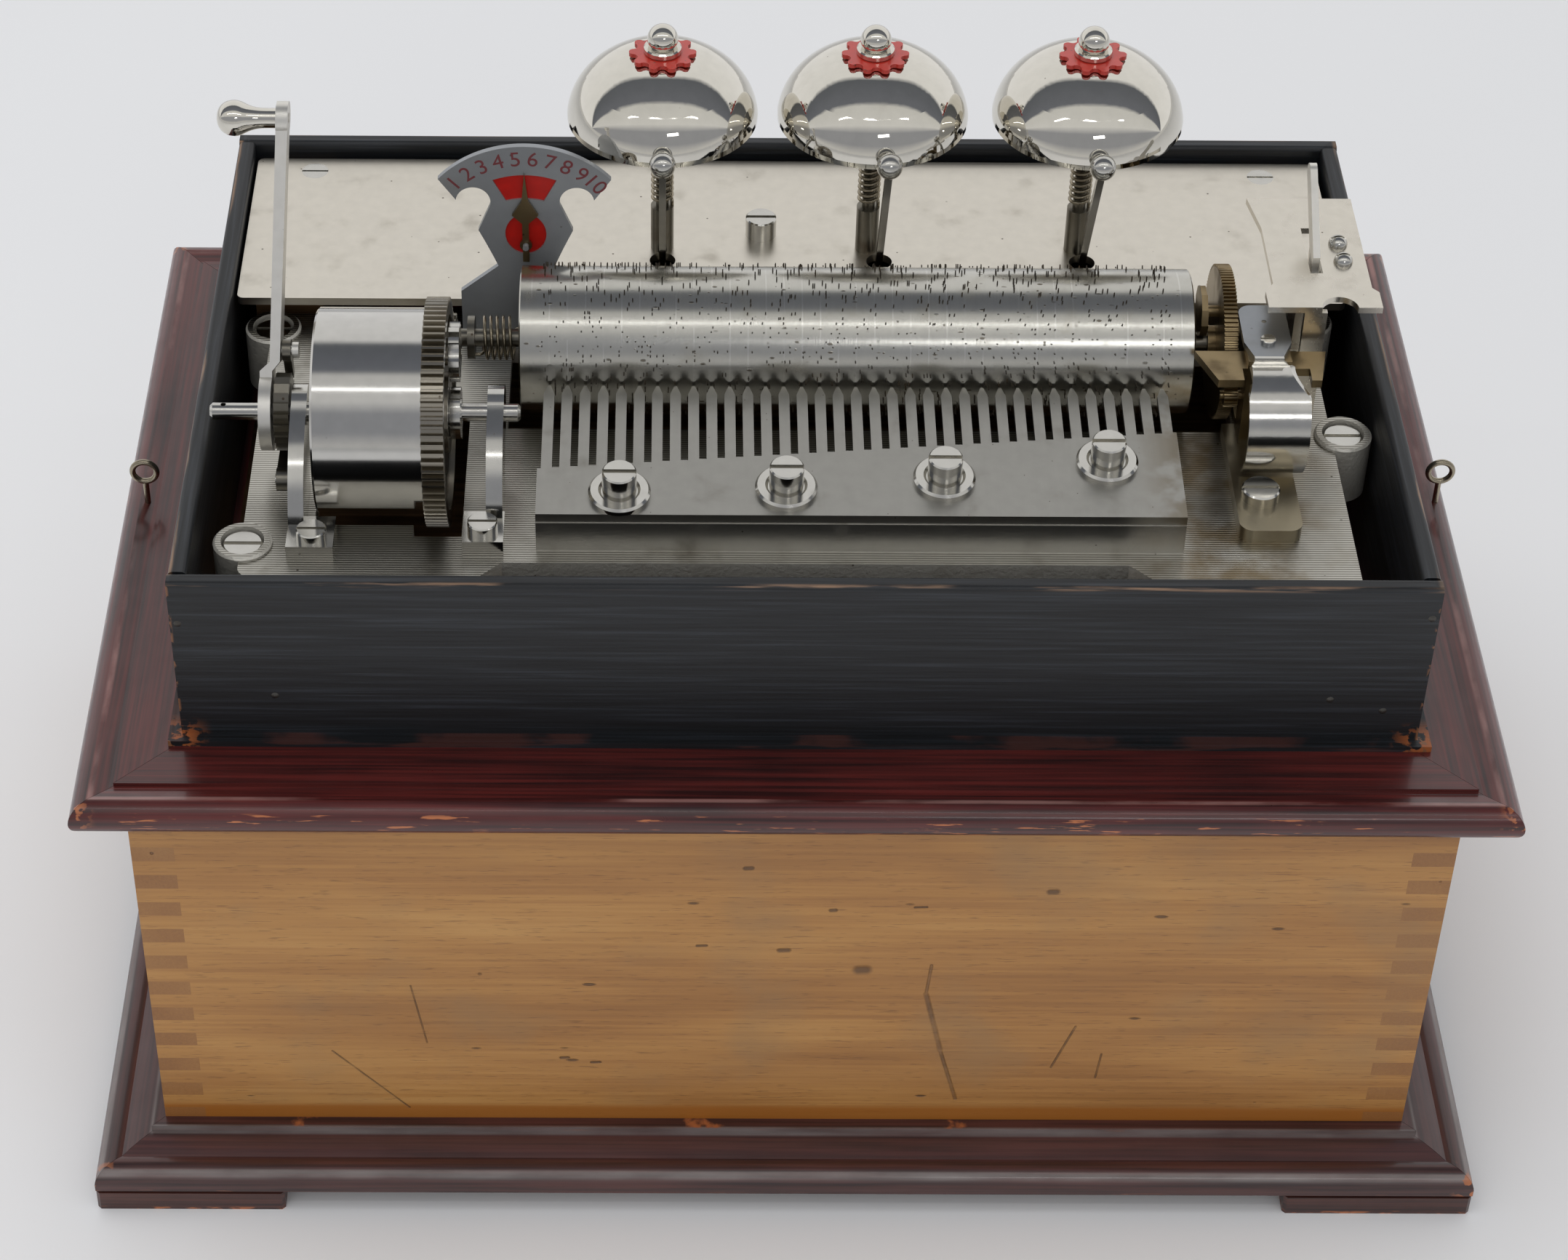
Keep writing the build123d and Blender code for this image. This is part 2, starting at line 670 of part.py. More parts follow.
with BuildPart() as sound_board:
    block((-inner_x / 2, inner_x / 2), (-inner_y / 2, inner_y / 2), (case_top - SOUND_BOARD_T, case_top))
sound_board.part.label = "sound_board"
export_step(sound_board.part, "parts/sound_board.step")

# ---- flange, tray and screw eyes ----
with BuildSketch(Plane.XZ) as flange_profile:
    with BuildLine():
        ThreePointArc(
            (-BEAD_D / 2, case_top),
            (0, case_top + BEAD_D / 2),
            (-BEAD_D / 2, flange_top),
        )
        Polyline(
            (-BEAD_D / 2, flange_top),
            (-BEAD_D, flange_top - QUIRK_DEEP),
            (-BEAD_D - QUIRK_W, flange_top - QUIRK_DEEP),
            (-BEAD_D - QUIRK_W, flange_top),
            (-FLANGE_W, flange_top),
            (-FLANGE_W, case_top),
            (-BEAD_D / 2, case_top),
        )
    make_face()
flange_long = mitred_strip(flange_profile.sketch, flange_x, FLANGE_W)
flange_short = mitred_strip(flange_profile.sketch, flange_y, FLANGE_W)
with BuildPart() as flange_mouldings:
    mitred_frame(flange_long, flange_short, flange_x, flange_y)
    for eye_x, eye_y in zip(EYE_X, EYE_Y):
        rod_z(eye_x, eye_y, (flange_top - EYE_SUNK, flange_top), EYE_WIRE_R, Mode.SUBTRACT)
flange_mouldings.part.label = "flange_mouldings"
export_step(flange_mouldings.part, "parts/flange_mouldings.step")

tray_in_x = (TRAY_X[0] + TRAY_WALL, TRAY_X[1] - TRAY_WALL)
tray_in_y = (TRAY_Y[0] + TRAY_WALL, TRAY_Y[1] - TRAY_WALL)
step_x = (TRAY_X[0] - STEP_OUT, TRAY_X[1] + STEP_OUT)
step_y = (TRAY_Y[0] - STEP_OUT, TRAY_Y[1] + STEP_OUT)
with BuildPart() as tray_step:
    for side_y in ((step_y[0], tray_in_y[0]), (tray_in_y[1], step_y[1])):
        block(step_x, side_y, (flange_top, step_top))
    for side_x in ((step_x[0], tray_in_x[0]), (tray_in_x[1], step_x[1])):
        block(side_x, (tray_in_y[0] + MITRE_GAP, tray_in_y[1] - MITRE_GAP), (flange_top, step_top))
tray_step.part.label = "tray_step"
export_step(tray_step.part, "parts/tray_step.step")

with BuildPart() as tray_boards:
    for side_y in ((TRAY_Y[0], tray_in_y[0]), (tray_in_y[1], TRAY_Y[1])):
        block(TRAY_X, side_y, (step_top, TRAY_TOP))
    for side_x in ((TRAY_X[0], tray_in_x[0]), (tray_in_x[1], TRAY_X[1])):
        block(side_x, (tray_in_y[0] + MITRE_GAP, tray_in_y[1] - MITRE_GAP), (step_top, TRAY_TOP))
    rim_faces = tray_boards.faces().sort_by(Axis.Z)[-4:]
    rim_long = [edge for face in rim_faces for edge in face.edges() if edge.length > FOOT_X]
    fillet(rim_long, TRAY_ROUND)
tray_boards.part.label = "tray_boards"
export_step(tray_boards.part, "parts/tray_boards.step")

eye_ring_z = flange_top + EYE_STALK + EYE_RING_R
with BuildPart() as screw_eye:
    rod_z(0, 0, (-EYE_SUNK, EYE_STALK), EYE_WIRE_R)
    with Locations(Location((0, 0, EYE_STALK + EYE_RING_R), (90, 0, 0))):
        Torus(EYE_RING_R, EYE_WIRE_R)
with BuildPart() as screw_eyes:
    for eye_x, eye_y in zip(EYE_X, EYE_Y):
        with Locations((eye_x, eye_y, flange_top)):
            add(screw_eye.part)
screw_eyes.part.label = "screw_eyes"
export_step(screw_eyes.part, "parts/screw_eyes.step")

# ---- bedplate with its pillars ----
bed_recess_y = BED_Y[0] + BED_RECESS_DEEP
drum_hole_x = (DRUM_X[0] - DRUM_HOLE_ROOM, WHEEL_X[0])
drum_hole_y = (BARREL_Y - DRUM_R + DRUM_HOLE_FRONT, BARREL_Y + DRUM_R)
wheel_hole_x = (WHEEL_X[0] - WHEEL_HOLE_LEFT, STOP_X[1] + WHEEL_HOLE_RIGHT)
wheel_hole_y = (BARREL_Y - DRUM_R - WHEEL_HOLE_ROOM, BARREL_Y + DRUM_R + WHEEL_HOLE_ROOM)
cylinder_hole_x = (CYLINDER_X[0] - CYLINDER_HOLE_LEFT, CYL_WHEEL_X[1] + CYLINDER_HOLE_RIGHT)
cylinder_hole_y = (CYLINDER_Y - CYLINDER_HOLE_HALF, CYLINDER_Y + CYLINDER_HOLE_HALF)
with BuildPart() as bedplate:
    with BuildSketch(Plane.XY.offset(bed_under)):
        Polygon(
            (BED_X[0], BED_Y[0]),
            (BED_RECESS_X[0] - BED_RECESS_DEEP, BED_Y[0]),
            (BED_RECESS_X[0], bed_recess_y),
            (BED_RECESS_X[1], bed_recess_y),
            (BED_RECESS_X[1] + BED_RECESS_DEEP, BED_Y[0]),
            (BED_X[1], BED_Y[0]),
            (BED_X[1], BED_Y[1]),
            (BED_X[0], BED_Y[1]),
        )
    extrude(amount=BED_T)
    fillet(bedplate.edges().filter_by(Axis.Z).sort_by(Axis.X)[0], 2 * DECK_CORNER)
    for lug_x, lug_y in LUG_PLACES:
        rod_z(lug_x, lug_y, (BED_TOP - LUG_DEEP, BED_TOP + LUG_H), LUG_R)
        rod_z(lug_x, lug_y, (case_top, BED_TOP - LUG_DEEP), PILLAR_R)
    lug_tops = bedplate.edges().filter_by(GeomType.CIRCLE).group_by(Axis.Z)[-1]
    chamfer(lug_tops, LUG_H / 2)
    block(drum_hole_x, drum_hole_y, (bed_under, BED_TOP), Mode.SUBTRACT)
    block(wheel_hole_x, wheel_hole_y, (bed_under, BED_TOP), Mode.SUBTRACT)
    block(cylinder_hole_x, cylinder_hole_y, (bed_under, BED_TOP), Mode.SUBTRACT)
    head_under = BED_TOP + LUG_H - LUG_HEAD_SUNK - LUG_HEAD_H
    for lug_x, lug_y in LUG_PLACES:
        rod_z(lug_x, lug_y, (head_under, BED_TOP + LUG_H), LUG_SEAT_R, Mode.SUBTRACT)
        rod_z(lug_x, lug_y, (head_under - LUG_SHANK, head_under), LUG_SHANK_R, Mode.SUBTRACT)
bedplate.part.label = "bedplate"
export_step(bedplate.part, "parts/bedplate.step")

with BuildPart() as lug_screw:
    slotted_head(LUG_HEAD_R, LUG_HEAD_H, LUG_SLOT)
    rod_z(0, 0, (-LUG_SHANK, 0), LUG_SHANK_R)
with BuildPart() as bedplate_screws:
    for lug_x, lug_y in LUG_PLACES:
        with Locations((lug_x, lug_y, head_under)):
            add(lug_screw.part)
bedplate_screws.part.label = "bedplate_screws"
export_step(bedplate_screws.part, "parts/bedplate_screws.step")

# ---- cocks of the barrel ----
def cock(plate_x, foot_x, foot_y, leg_front, screw_place, bore_r):
    """A standing cock: round head, bulging leg and a foot on the bedplate."""
    foot_top = BED_TOP + COCK_FOOT_H
    neck_top = (BARREL_Y - COCK_NECK_BACK, BARREL_Z + COCK_HEAD_R - COCK_NECK_IN)
    leg_bulge = ((leg_front + BARREL_Y) / 2 - LEG_BULGE, (foot_top + BARREL_Z + COCK_HEAD_R) / 2 + LEG_BULGE)
    with BuildPart() as standing:
        with BuildSketch(Plane.YZ.offset(plate_x[0])):
            with BuildLine():
                Polyline(
                    neck_top,
                    (neck_top[0], BARREL_Z - COCK_HEAD_R + COCK_NECK_IN),
                    (COCK_BACK_Y, foot_top),
                    (COCK_BACK_Y, BED_TOP),
                    (leg_front, BED_TOP),
                    (leg_front, foot_top),
                )
                ThreePointArc(
                    (leg_front, foot_top),
                    leg_bulge,
                    neck_top,
                )
            make_face()
            with Locations((BARREL_Y, BARREL_Z)):
                Circle(COCK_HEAD_R)
        extrude(amount=plate_x[1] - plate_x[0])
        block(foot_x, foot_y, (BED_TOP, foot_top))
        rod_x(plate_x, BARREL_Y, BARREL_Z, bore_r, Mode.SUBTRACT)
        rod_z(screw_place[0], screw_place[1], (BED_TOP, foot_top), MOVEMENT_SHANK_R, Mode.SUBTRACT)
    return standing.part


left_bore = ARBOR_NECK_R + RUN
left_standing = cock(LEFT_COCK_X, LEFT_FOOT_X, LEFT_FOOT_Y, LEG_FRONT_Y[0], COCK_SCREWS[0], left_bore)
with BuildPart() as left_cock:
    add(left_standing)
    rod_x((RATCHET_X[0], LEFT_COCK_X[0]), CLICK_Y, CLICK_Z, CLICK_STUD_R)
left_cock.part.label = "left_cock"
export_step(left_cock.part, "parts/left_cock.step")

right_bore = ARBOR_END_R + RUN
right_standing = cock(RIGHT_COCK_X, RIGHT_FOOT_X, RIGHT_FOOT_Y, LEG_FRONT_Y[1], COCK_SCREWS[1], right_bore)
with BuildPart() as right_cock:
    add(right_standing)
right_cock.part.label = "right_cock"
export_step(right_cock.part, "parts/right_cock.step")

# ---- winding arbor with ratchet and stop finger ----
with BuildPart() as barrel_arbor:
    rod_x((ARBOR_TIP_X, ARBOR_NECK_X), BARREL_Y, BARREL_Z, ARBOR_TIP_R)
    rod_x((ARBOR_NECK_X, ARBOR_CORE_X[0]), BARREL_Y, BARREL_Z, ARBOR_NECK_R)
    rod_x(ARBOR_CORE_X, BARREL_Y, BARREL_Z, ARBOR_CORE_R)
    rod_x((ARBOR_CORE_X[1], ARBOR_END_X), BARREL_Y, BARREL_Z, ARBOR_END_R)
    arbor_ends = barrel_arbor.edges().filter_by(GeomType.CIRCLE).sort_by(Axis.X)
    chamfer((arbor_ends[0], arbor_ends[-1]), 2 * APART)
    hole_z = (BARREL_Z - ARBOR_TIP_R, BARREL_Z + ARBOR_TIP_R)
    rod_z(ARBOR_TIP_X + ARBOR_HOLE_IN, BARREL_Y, hole_z, ARBOR_HOLE_R, Mode.SUBTRACT)
barrel_arbor.part.label = "barrel_arbor"
export_step(barrel_arbor.part, "parts/barrel_arbor.step")

with BuildPart() as ratchet_wheel:
    with BuildSketch(Plane.YZ.offset(RATCHET_X[0])):
        with Locations((BARREL_Y, BARREL_Z)):
            Polygon(*ratchet_points(RATCHET_TEETH, RATCHET_R, RATCHET_ROOT_R))
            Circle(ARBOR_NECK_R, mode=Mode.SUBTRACT)
    extrude(amount=RATCHET_X[1] - RATCHET_X[0])
ratchet_wheel.part.label = "ratchet_wheel"
export_step(ratchet_wheel.part, "parts/ratchet_wheel.step")

with BuildPart() as stop_finger:
    with BuildSketch(Plane.YZ.offset(STOP_X[0])):
        with Locations((BARREL_Y, BARREL_Z)):
            Circle(FINGER_DISC_R)
            with Locations((0, -finger_reach / 2)):
                RectangleRounded(FINGER_W, finger_reach, FINGER_ROUND)
            Circle(ARBOR_CORE_R, mode=Mode.SUBTRACT)
    extrude(amount=STOP_X[1] - STOP_X[0])
stop_finger.part.label = "stop_finger"
export_step(stop_finger.part, "parts/stop_finger.step")

# ---- barrel: drum, great wheel, mainspring and stop star ----
drum_in_x = (DRUM_X[0] + DRUM_WALL, DRUM_X[1])
with BuildPart() as barrel_drum:
    rod_x(DRUM_X, BARREL_Y, BARREL_Z, DRUM_R)
    chamfer(barrel_drum.edges().filter_by(GeomType.CIRCLE).sort_by(Axis.X)[0], DRUM_EDGE)
    rod_x(drum_in_x, BARREL_Y, BARREL_Z, DRUM_R - DRUM_WALL, Mode.SUBTRACT)
    rod_x(DRUM_X, BARREL_Y, BARREL_Z, ARBOR_CORE_R + RUN, Mode.SUBTRACT)
barrel_drum.part.label = "barrel_drum"
export_step(barrel_drum.part, "parts/barrel_drum.step")

with BuildPart() as great_wheel:
    with BuildSketch(Plane.YZ.offset(WHEEL_X[0])):
        with Locations((BARREL_Y, BARREL_Z)):
            Polygon(*gear_points(BARREL_TEETH, drive_module, gear_angle))
    extrude(amount=WHEEL_X[1] - WHEEL_X[0])
    dish_x = (WHEEL_X[1] - GREAT_DISH, WHEEL_X[1])
    with BuildSketch(Plane.YZ.offset(dish_x[0])):
        with Locations((BARREL_Y, BARREL_Z)):
            Circle(DRUM_R - DRUM_WALL)
            Circle(GREAT_HUB_R, mode=Mode.SUBTRACT)
        with Locations((star_y, star_z)):
            Circle(STAR_STUD_R + DRUM_WALL, mode=Mode.SUBTRACT)
    extrude(amount=GREAT_DISH, mode=Mode.SUBTRACT)
    rod_x((dish_x[0], STOP_X[1]), star_y, star_z, STAR_STUD_R)
    rod_x(WHEEL_X, BARREL_Y, BARREL_Z, ARBOR_CORE_R + RUN, Mode.SUBTRACT)
great_wheel.part.label = "great_wheel"
export_step(great_wheel.part, "parts/great_wheel.step")

spring_out_r = DRUM_R - DRUM_WALL
spring_step = (spring_out_r - SPRING_STRIP / 2 - SPRING_IN_R) / (2 * SPRING_TURNS)
with BuildPart() as mainspring:
    with BuildSketch(Plane.YZ.offset(drum_in_x[0] + APART)):
        with BuildLine():
            for half in range(2 * SPRING_TURNS):
                side = 1 if half % 2 == 0 else -1
                near = SPRING_IN_R + half * spring_step
                far = near + spring_step
                ThreePointArc(
                    (BARREL_Y + side * near, BARREL_Z),
                    (BARREL_Y + side * (near - far) / 2, BARREL_Z + side * (near + far) / 2),
                    (BARREL_Y - side * far, BARREL_Z),
                )
        trace(line_width=SPRING_STRIP)
    extrude(amount=drum_in_x[1] - drum_in_x[0] - 2 * APART)
mainspring.part.label = "mainspring"
export_step(mainspring.part, "parts/mainspring.step")

with BuildPart() as stop_star:
    with BuildSketch(Plane.YZ.offset(STOP_X[0])):
        with Locations((star_y, star_z)):
            Circle(STAR_R)
            Circle(STAR_STUD_R + RUN, mode=Mode.SUBTRACT)
            with PolarLocations(STAR_SCOOP_AT, STAR_ARMS):
                Circle(STAR_SCOOP_R, mode=Mode.SUBTRACT)
            with PolarLocations(STAR_R - STAR_SLOT_IN / 2, STAR_ARMS, start_angle=180 / STAR_ARMS):
                Rectangle(STAR_SLOT_IN, STAR_SLOT_W, mode=Mode.SUBTRACT)
    extrude(amount=STOP_X[1] - STOP_X[0])
stop_star.part.label = "stop_star"
export_step(stop_star.part, "parts/stop_star.step")

# ---- click on the left cock ----
click_x = (RATCHET_X[0] + APART, LEFT_COCK_X[0] - APART)
nose_r = RATCHET_R + PAWL_CLEAR
nose_y = BARREL_Y + nose_r * cos(radians(CLICK_NOSE_ANGLE))
nose_z = BARREL_Z + nose_r * sin(radians(CLICK_NOSE_ANGLE))
with BuildPart() as click:
    with BuildSketch(Plane.YZ.offset(click_x[0])):
        with Locations((CLICK_Y, CLICK_Z)):
            Circle(CLICK_HUB_R)
        Polygon(
            (CLICK_Y - APART, CLICK_Z + CLICK_ARM_W),
            (nose_y, nose_z),
            (nose_y - APART, nose_z - CLICK_ARM_W),
            (CLICK_Y + APART, CLICK_Z - CLICK_HUB_R),
        )
        with Locations((CLICK_Y, CLICK_Z)):
            Circle(CLICK_STUD_R + RUN, mode=Mode.SUBTRACT)
    extrude(amount=click_x[1] - click_x[0])
click.part.label = "click"
export_step(click.part, "parts/click.step")

# ---- winding lever, its knob and pawl, drawn upright and then leant back ----
lever_place = Location((0, BARREL_Y, BARREL_Z), (-LEVER_LEAN, 0, 0))
lever_end_u = LEVER_LONG + LEVER_EYE_R
lever_slope = (LEVER_TOP_X - LEVER_CRANK_X) / (lever_end_u - LEVER_CRANK_U[1])
pawl_strip_x = LEVER_CRANK_X + LEVER_T + lever_slope * (PAWL_U - LEVER_CRANK_U[1])
knob_face_x = LEVER_CRANK_X + lever_slope * (LEVER_LONG - LEVER_CRANK_U[1])
with BuildPart() as lever_upright:
    with BuildSketch(Plane.XZ.offset(-LEVER_RING_R)):
        Polygon(
            (LEVER_RING_X[0], -LEVER_RING_R),
            (LEVER_RING_X[1], -LEVER_RING_R),
            (LEVER_RING_X[1], LEVER_CRANK_U[0]),
            (LEVER_CRANK_X + LEVER_T, LEVER_CRANK_U[1]),
            (LEVER_TOP_X + LEVER_TOP_T, lever_end_u),
            (LEVER_TOP_X, lever_end_u),
            (LEVER_CRANK_X, LEVER_CRANK_U[1]),
            (LEVER_RING_X[0], LEVER_CRANK_U[0]),
        )
    extrude(amount=2 * LEVER_RING_R)
    with BuildSketch(Plane.YZ.offset(LEVER_RING_X[0])):
        Circle(LEVER_RING_R)
        Polygon(
            (-LEVER_W_LOW / 2, 0),
            (LEVER_W_LOW / 2, 0),
            (LEVER_W_TOP / 2, LEVER_LONG),
            (-LEVER_W_TOP / 2, LEVER_LONG),
        )
        with Locations((0, LEVER_LONG)):
            Circle(LEVER_EYE_R)
        Circle(ARBOR_TIP_R + RUN, mode=Mode.SUBTRACT)
        with Locations((0, LEVER_LONG)):
            Circle(KNOB_STUD_R, mode=Mode.SUBTRACT)
    extrude(amount=LEVER_TOP_X + LEVER_TOP_T - LEVER_RING_X[0], mode=Mode.INTERSECT)
    rod_x((pawl_strip_x - APART, PAWL_X[1] + APART), 0, PAWL_U, PAWL_STUD_R)
    rod_x((PAWL_X[1] + APART, PAWL_X[1] + APART + PAWL_HEAD_T), 0, PAWL_U, PAWL_HEAD_R)
with BuildPart() as winding_lever:
    with Locations(lever_place):
        add(lever_upright.part)
winding_lever.part.label = "winding_lever"
export_step(winding_lever.part, "parts/winding_lever.step")

with BuildPart() as knob_upright:
    with BuildSketch(Plane.XZ):
        with BuildLine():
            Polyline(
                (KNOB_END_X, LEVER_LONG),
                (knob_face_x + LEVER_T, LEVER_LONG),
                (knob_face_x + LEVER_T, LEVER_LONG + KNOB_STUD_R),
                (knob_face_x - 2 * RUN, LEVER_LONG + KNOB_STUD_R),
                (knob_face_x - 2 * RUN, LEVER_LONG + KNOB_NECK_R),
                (knob_face_x - KNOB_NECK_R, LEVER_LONG + KNOB_NECK_R),
            )
            Spline(
                (knob_face_x - KNOB_NECK_R, LEVER_LONG + KNOB_NECK_R),
                ((2 * KNOB_END_X + knob_face_x) / 3, LEVER_LONG + KNOB_BULB_R),
                (KNOB_END_X, LEVER_LONG),
                tangents=((-1, 0), (0, -1)),
            )
        make_face()
    revolve(axis=Axis((0, 0, LEVER_LONG), (1, 0, 0)))
with BuildPart() as lever_knob:
    with Locations(lever_place):
        add(knob_upright.part)
lever_knob.part.label = "lever_knob"
export_step(lever_knob.part, "parts/lever_knob.step")

nose_cos = cos(radians(PAWL_NOSE_ANGLE))
nose_sin = sin(radians(PAWL_NOSE_ANGLE))
with BuildPart() as pawl_upright:
    with BuildSketch(Plane.YZ.offset(PAWL_X[0])):
        with Locations((0, PAWL_U)):
            Circle(PAWL_HUB_R)
        Polygon(
            (-PAWL_ARM_FRONT, PAWL_U - PAWL_ARM_LOW),
            (nose_r * nose_cos, nose_r * nose_sin),
            ((nose_r + PAWL_ARM_W) * nose_cos, (nose_r + PAWL_ARM_W) * nose_sin),
            (PAWL_HUB_R * nose_cos, PAWL_U + PAWL_HUB_R * nose_sin),
        )
        with Locations((0, PAWL_U)):
            Circle(PAWL_STUD_R + RUN, mode=Mode.SUBTRACT)
    extrude(amount=PAWL_X[1] - PAWL_X[0])
with BuildPart() as lever_pawl:
    with Locations(lever_place):
        add(pawl_upright.part)
lever_pawl.part.label = "lever_pawl"
export_step(lever_pawl.part, "parts/lever_pawl.step")

# ---- cylinder, its shaft, wheel, return spring and tune snail ----
with BuildPart() as cylinder_shell:
    rod_x(CYLINDER_X, CYLINDER_Y, CYLINDER_Z, CYLINDER_R)
    chamfer(cylinder_shell.edges().filter_by(GeomType.CIRCLE), APART)
    hollow_x = (CYLINDER_X[0] + CAP_LEFT_T, CYLINDER_X[1] - CAP_RIGHT_T)
    rod_x(hollow_x, CYLINDER_Y, CYLINDER_Z, CYLINDER_R - CYLINDER_SKIN, Mode.SUBTRACT)
    rod_x(CYLINDER_X, CYLINDER_Y, CYLINDER_Z, SHAFT_R + RUN, Mode.SUBTRACT)
    recess_x = (CYLINDER_X[0], CYLINDER_X[0] + RETURN_RECESS_DEEP)
    rod_x(recess_x, CYLINDER_Y, CYLINDER_Z, RETURN_RECESS_R, Mode.SUBTRACT)
cylinder_shell.part.label = "cylinder_shell"
export_step(cylinder_shell.part, "parts/cylinder_shell.step")

with BuildPart() as cylinder_arbor:
    rod_x(SHAFT_PIVOT_X, CYLINDER_Y, CYLINDER_Z, SHAFT_PIVOT_R)
    rod_x(SHAFT_X, CYLINDER_Y, CYLINDER_Z, SHAFT_R)
    rod_x(COLLAR_X, CYLINDER_Y, CYLINDER_Z, COLLAR_R)
cylinder_arbor.part.label = "cylinder_arbor"
export_step(cylinder_arbor.part, "parts/cylinder_arbor.step")

with BuildPart() as drive_pinion:
    with BuildSketch(Plane.YZ.offset(WHEEL_X[0])):
        with Locations((CYLINDER_Y, CYLINDER_Z)):
            Polygon(*gear_points(PINION_TEETH, drive_module, gear_angle + 180 + 180 / PINION_TEETH))
            Circle(SHAFT_R, mode=Mode.SUBTRACT)
    extrude(amount=WHEEL_X[1] - WHEEL_X[0])
drive_pinion.part.label = "drive_pinion"
export_step(drive_pinion.part, "parts/drive_pinion.step")

with BuildPart() as cylinder_wheel:
    with BuildSketch(Plane.YZ.offset(CYL_WHEEL_X[0])):
        with Locations((CYLINDER_Y, CYLINDER_Z)):
            Polygon(*gear_points(CYL_WHEEL_TEETH, gov_module, gov_angle))
    extrude(amount=CYL_WHEEL_X[1] - CYL_WHEEL_X[0])
    web_in_x = (CYL_WHEEL_X[0] + CYL_WHEEL_WEB, CYL_WHEEL_X[1])
    rim_in_r = CYLINDER_R + APART - CYL_WHEEL_RIM
    with BuildSketch(Plane.YZ.offset(web_in_x[0])):
        with Locations((CYLINDER_Y, CYLINDER_Z)):
            Circle(rim_in_r)
            Circle(CYL_WHEEL_HUB_R, mode=Mode.SUBTRACT)
    extrude(amount=web_in_x[1] - web_in_x[0], mode=Mode.SUBTRACT)
    rod_x((CYL_WHEEL_HUB_X, CYL_WHEEL_X[0]), CYLINDER_Y, CYLINDER_Z, CYL_WHEEL_HUB_R - SNAIL_STUD_R)
    rod_x((SNAIL_X, CYL_WHEEL_X[0]), CYLINDER_Y, CYLINDER_Z + SNAIL_UP, SNAIL_STUD_R)
    rod_x((SNAIL_X, CYL_WHEEL_X[1]), CYLINDER_Y, CYLINDER_Z, SHAFT_R, Mode.SUBTRACT)
cylinder_wheel.part.label = "cylinder_wheel"
export_step(cylinder_wheel.part, "parts/cylinder_wheel.step")

tune_angle = 360 / TUNES
with BuildPart() as change_snail:
    for tune in range(TUNES):
        start = radians(tune * tune_angle)
        end = radians((tune + 1) * tune_angle)
        with BuildSketch(Plane.YZ.offset(SNAIL_X)):
            with Locations((CYLINDER_Y, CYLINDER_Z + SNAIL_UP)):
                Polygon(
                    (0, 0),
                    (SNAIL_R * cos(start), SNAIL_R * sin(start)),
                    (SNAIL_R * cos(end), SNAIL_R * sin(end)),
                )
        extrude(amount=SNAIL_T + (tune + 1) * SNAIL_STEP)
    snail_bore_x = (SNAIL_X, SNAIL_X + CYL_WHEEL_RIM)
    rod_x(snail_bore_x, CYLINDER_Y, CYLINDER_Z + SNAIL_UP, SNAIL_STUD_R + RUN, Mode.SUBTRACT)
change_snail.part.label = "change_snail"
export_step(change_snail.part, "parts/change_snail.step")

with BuildPart() as cylinder_bearings:
    for plate_x, foot_x in (
        (BEARING_LEFT_X, (BEARING_LEFT_FOOT, BEARING_LEFT_X[1])),
        (BEARING_RIGHT_X, (BEARING_RIGHT_X[0], BEARING_RIGHT_FOOT)),
    ):
        plate_y = (CYLINDER_Y - BEARING_HEAD_R, CYLINDER_Y + BEARING_HEAD_R)
        block(plate_x, plate_y, (BED_TOP, CYLINDER_Z))
        rod_x(plate_x, CYLINDER_Y, CYLINDER_Z, BEARING_HEAD_R)
        block(foot_x, plate_y, (BED_TOP, BED_TOP + BEARING_FOOT_H))
        rod_x(plate_x, CYLINDER_Y, CYLINDER_Z, SHAFT_PIVOT_R + RUN, Mode.SUBTRACT)
    for screw_x in (BEARING_LEFT_FOOT + BEARING_SCREW_IN, BEARING_RIGHT_FOOT - BEARING_SCREW_IN):
        rod_z(screw_x, CYLINDER_Y, (BED_TOP, BED_TOP + BEARING_FOOT_H), MOVEMENT_SHANK_R, Mode.SUBTRACT)
cylinder_bearings.part.label = "cylinder_bearings"
export_step(cylinder_bearings.part, "parts/cylinder_bearings.step")

with BuildPart() as movement_screw:
    slotted_head(MOVEMENT_HEAD_R, MOVEMENT_HEAD_H, MOVEMENT_SLOT)
    rod_z(0, 0, (-BEARING_FOOT_H, 0), MOVEMENT_SHANK_R)
with BuildPart() as governor_screw:
    slotted_head(GOV_HEAD_R, GOV_HEAD_H, GOV_SLOT)
    rod_z(0, 0, (-GOV_FOOT_H, 0), MOVEMENT_SHANK_R)
with BuildPart() as endstone_screw:
    slotted_head(ENDSTONE_HEAD_R, ENDSTONE_HEAD_H, ENDSTONE_SLOT)
    rod_z(0, 0, (-BEARING_FOOT_H, 0), WORM_SHAFT_R)
bearing_screw_x = (BEARING_LEFT_FOOT + BEARING_SCREW_IN, BEARING_RIGHT_FOOT - BEARING_SCREW_IN)
with BuildPart() as movement_screws:
    for place in COCK_SCREWS:
        with Locations((place[0], place[1], BED_TOP + COCK_FOOT_H)):
            add(movement_screw.part)
    for screw_x in bearing_screw_x:
        with Locations((screw_x, CYLINDER_Y, BED_TOP + BEARING_FOOT_H)):
            add(movement_screw.part)
    with Locations((GOV_SCREW[0], GOV_SCREW[1], BED_TOP + GOV_FOOT_H)):
        add(governor_screw.part)
    with Locations((WORM_X, ENDSTONE_SCREW_Y, ENDSTONE_TOP)):
        add(endstone_screw.part)
movement_screws.part.label = "movement_screws"
export_step(movement_screws.part, "parts/movement_screws.step")

